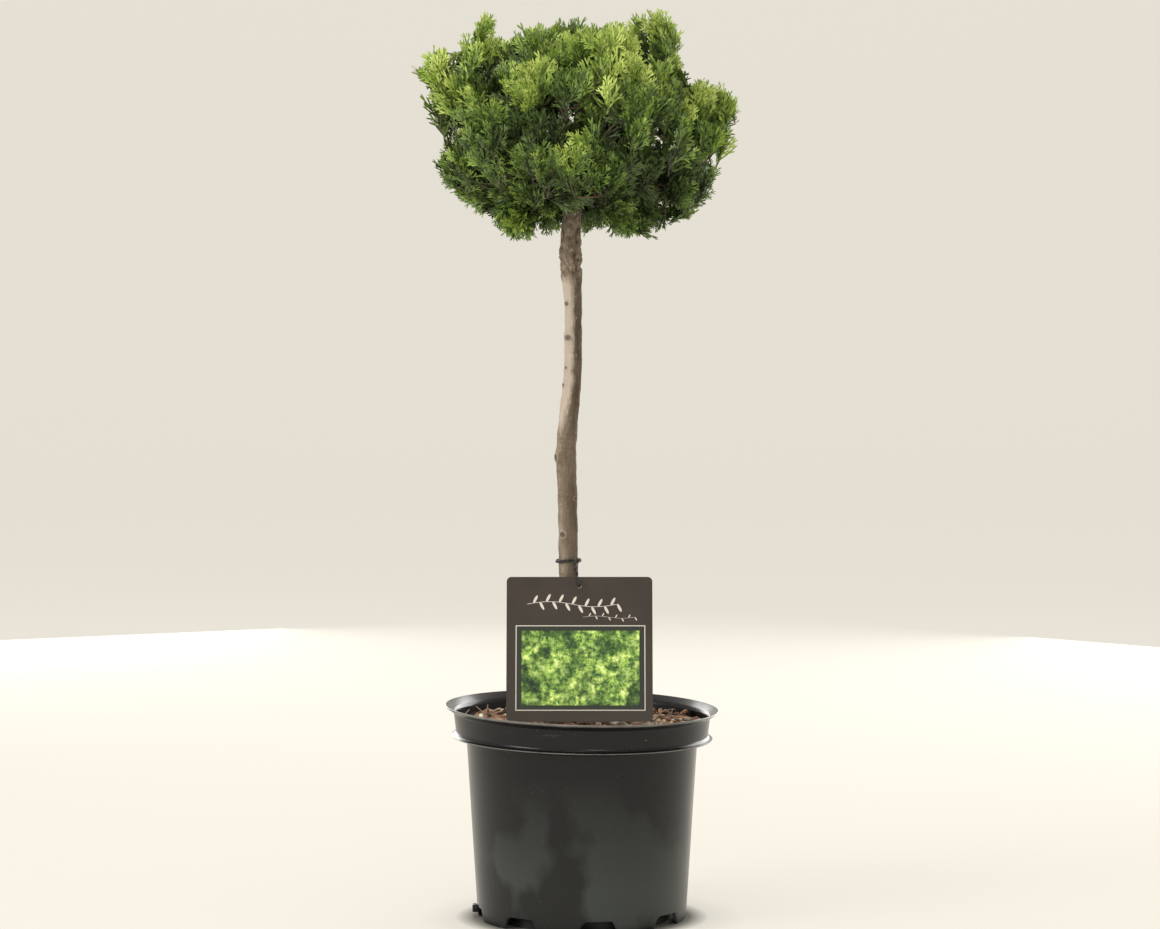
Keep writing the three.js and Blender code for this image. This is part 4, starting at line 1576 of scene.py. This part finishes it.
def build_stage(stage):
    """Pale floor that sweeps up behind, with a painted shadow round the pot's foot, soft lights, and the
    camera.
    """
    bm = bmesh.new()
    bmesh.ops.create_grid(bm, x_segments=2, y_segments=90, size=0.5)
    flat = SWEEP_FOOT - FLOOR_FRONT
    arc = SWEEP_RADIUS * math.pi / 2
    total = flat + arc + WALL_HEIGHT
    for v in bm.verts:
        run = (v.co.y + 0.5) * total
        x = v.co.x * 2 * FLOOR_HALF
        if run < flat:
            v.co = (x, FLOOR_FRONT + run, 0)
        elif run < flat + arc:
            turn = (run - flat) / SWEEP_RADIUS
            y = SWEEP_FOOT + SWEEP_RADIUS * math.sin(turn)
            v.co = (x, y, SWEEP_RADIUS * (1 - math.cos(turn)))
        else:
            v.co = (x, SWEEP_FOOT + SWEEP_RADIUS, SWEEP_RADIUS + run - flat - arc)
    dim = tuple(0.25 * c for c in stage.floor)
    material, shader = plain_material("studio_floor", dim, 0.9, 0.0)
    shader.inputs["Emission Color"].default_value = (*stage.floor, 1)
    # Painted shadow: the floor's glow fades to nothing round the pot's foot.
    painted_shadow_fade = radius_share(material, FOOT_RADIUS + 3 * MM, FOOT_RADIUS + 50 * MM)
    glow = ramp(material, painted_shadow_fade, [(0.0, grey(0)), (0.35, grey(0.62)), (1.0, grey(stage.glow))])
    link(material, glow, shader, "Emission Strength")
    mesh = bpy.data.meshes.new("studio_floor")
    bm.to_mesh(mesh)
    bm.free()
    mesh.materials.append(material)
    mesh.shade_smooth()
    floor = bpy.data.objects.new("studio_floor", mesh)
    bpy.context.scene.collection.objects.link(floor)
    for light in LIGHTS:
        add_light(*light)
    world = bpy.data.worlds.new("studio_light")
    world.use_nodes = True
    background = world.node_tree.nodes["Background"]
    background.inputs["Color"].default_value = (1.0, 0.975, 0.93, 1)
    background.inputs["Strength"].default_value = 0.62
    bpy.context.scene.world = world
    bpy.context.scene.view_settings.view_transform = "Standard"
    add_camera(stage)


def add_light(name, place, aim, size, power, colour):
    """A soft panel of light aimed at a point, itself out of the camera's sight."""
    light = bpy.data.lights.new(name, "AREA")
    light.shape = "RECTANGLE"
    light.size, light.size_y = size
    light.energy, light.color = power, colour
    holder = bpy.data.objects.new(name, light)
    holder.visible_camera = False
    holder.location = place
    holder.rotation_euler = (Vector(aim) - Vector(place)).to_track_quat("-Z", "Y").to_euler()
    bpy.context.scene.collection.objects.link(holder)


def add_camera(stage):
    """The camera, level with the plant's upper stem and looking a little down."""
    data = bpy.data.cameras.new("camera")
    data.lens, data.sensor_width = stage.lens, 36
    camera = bpy.data.objects.new("camera", data)
    side = -1.6 * MM
    camera.location = (side, -stage.distance, stage.height)
    way = Vector((side, 0, stage.aim)) - camera.location
    camera.rotation_euler = way.to_track_quat("-Z", "Y").to_euler()
    bpy.context.scene.collection.objects.link(camera)
    bpy.context.scene.camera = camera


# ---------------------------------------------------------------- operators and panel


class TOPIARY_OT_pot(bpy.types.Operator):
    """Build the nursery pot"""

    bl_idname = "topiary.pot"
    bl_label = "Nursery pot"

    def execute(self, context):
        build_pot(context.scene.topiary.pot)
        return {"FINISHED"}


class TOPIARY_OT_mulch(bpy.types.Operator):
    """Build the mulch bed, chips and fibres"""

    bl_idname = "topiary.mulch"
    bl_label = "Bark mulch"

    def execute(self, context):
        build_mulch(context.scene.topiary.mulch)
        return {"FINISHED"}


class TOPIARY_OT_stem(bpy.types.Operator):
    """Build the stem and leader"""

    bl_idname = "topiary.stem"
    bl_label = "Stem"

    def execute(self, context):
        build_stem(context.scene.topiary.stem)
        return {"FINISHED"}


class TOPIARY_OT_boughs(bpy.types.Operator):
    """Build the main boughs"""

    bl_idname = "topiary.boughs"
    bl_label = "Boughs"

    def execute(self, context):
        build_boughs(context.scene.topiary.stem)
        return {"FINISHED"}


class TOPIARY_OT_foliage(bpy.types.Operator):
    """Grow the twigs and the foliage of every mass"""

    bl_idname = "topiary.foliage"
    bl_label = "Twigs and foliage"

    def execute(self, context):
        settings = context.scene.topiary
        build_foliage(settings.foliage, settings.stem)
        return {"FINISHED"}


class TOPIARY_OT_tag(bpy.types.Operator):
    """Build the hang tag"""

    bl_idname = "topiary.tag"
    bl_label = "Hang tag"

    def execute(self, context):
        build_tag(context.scene.topiary.tag)
        return {"FINISHED"}


class TOPIARY_OT_tie(bpy.types.Operator):
    """Build the twist tie of the hang tag"""

    bl_idname = "topiary.tie"
    bl_label = "Twist tie"

    def execute(self, context):
        build_tie()
        return {"FINISHED"}


class TOPIARY_OT_stage(bpy.types.Operator):
    """Build the floor, lights and camera"""

    bl_idname = "topiary.stage"
    bl_label = "Stage"

    def execute(self, context):
        build_stage(context.scene.topiary.stage)
        return {"FINISHED"}


OPERATORS = (
    TOPIARY_OT_stage, TOPIARY_OT_pot, TOPIARY_OT_mulch, TOPIARY_OT_stem,
    TOPIARY_OT_boughs, TOPIARY_OT_foliage, TOPIARY_OT_tag, TOPIARY_OT_tie,
)


class TOPIARY_PT_panel(bpy.types.Panel):
    """Lists the operators and their settings"""

    bl_idname = "TOPIARY_PT_panel"
    bl_label = "Potted standard conifer"
    bl_space_type = "VIEW_3D"
    bl_region_type = "UI"
    bl_category = "Topiary"

    def draw(self, context):
        settings = context.scene.topiary
        for operator in OPERATORS:
            self.layout.operator(operator.bl_idname)
        for group in (
            settings.pot, settings.stem, settings.foliage, settings.mulch, settings.tag, settings.stage,
        ):
            box = self.layout.box()
            for name in group.bl_rna.properties.keys():
                if name not in {"rna_type", "name"}:
                    box.prop(group, name)


CLASSES = (
    PotSettings, StemSettings, FoliageSettings, MulchSettings, TagSettings, StageSettings,
    TopiarySettings, *OPERATORS, TOPIARY_PT_panel,
)


def register():
    """Registers the classes and the scene's settings."""
    for item in CLASSES:
        bpy.utils.register_class(item)
    bpy.types.Scene.topiary = PointerProperty(type=TopiarySettings)


def unregister():
    """Removes the scene's settings and the classes."""
    del bpy.types.Scene.topiary
    for item in reversed(CLASSES):
        bpy.utils.unregister_class(item)


def main():
    """Builds everything."""
    register()
    for operator in OPERATORS:
        group, name = operator.bl_idname.split(".")
        getattr(getattr(bpy.ops, group), name)()


if __name__ == "__main__":
    main()
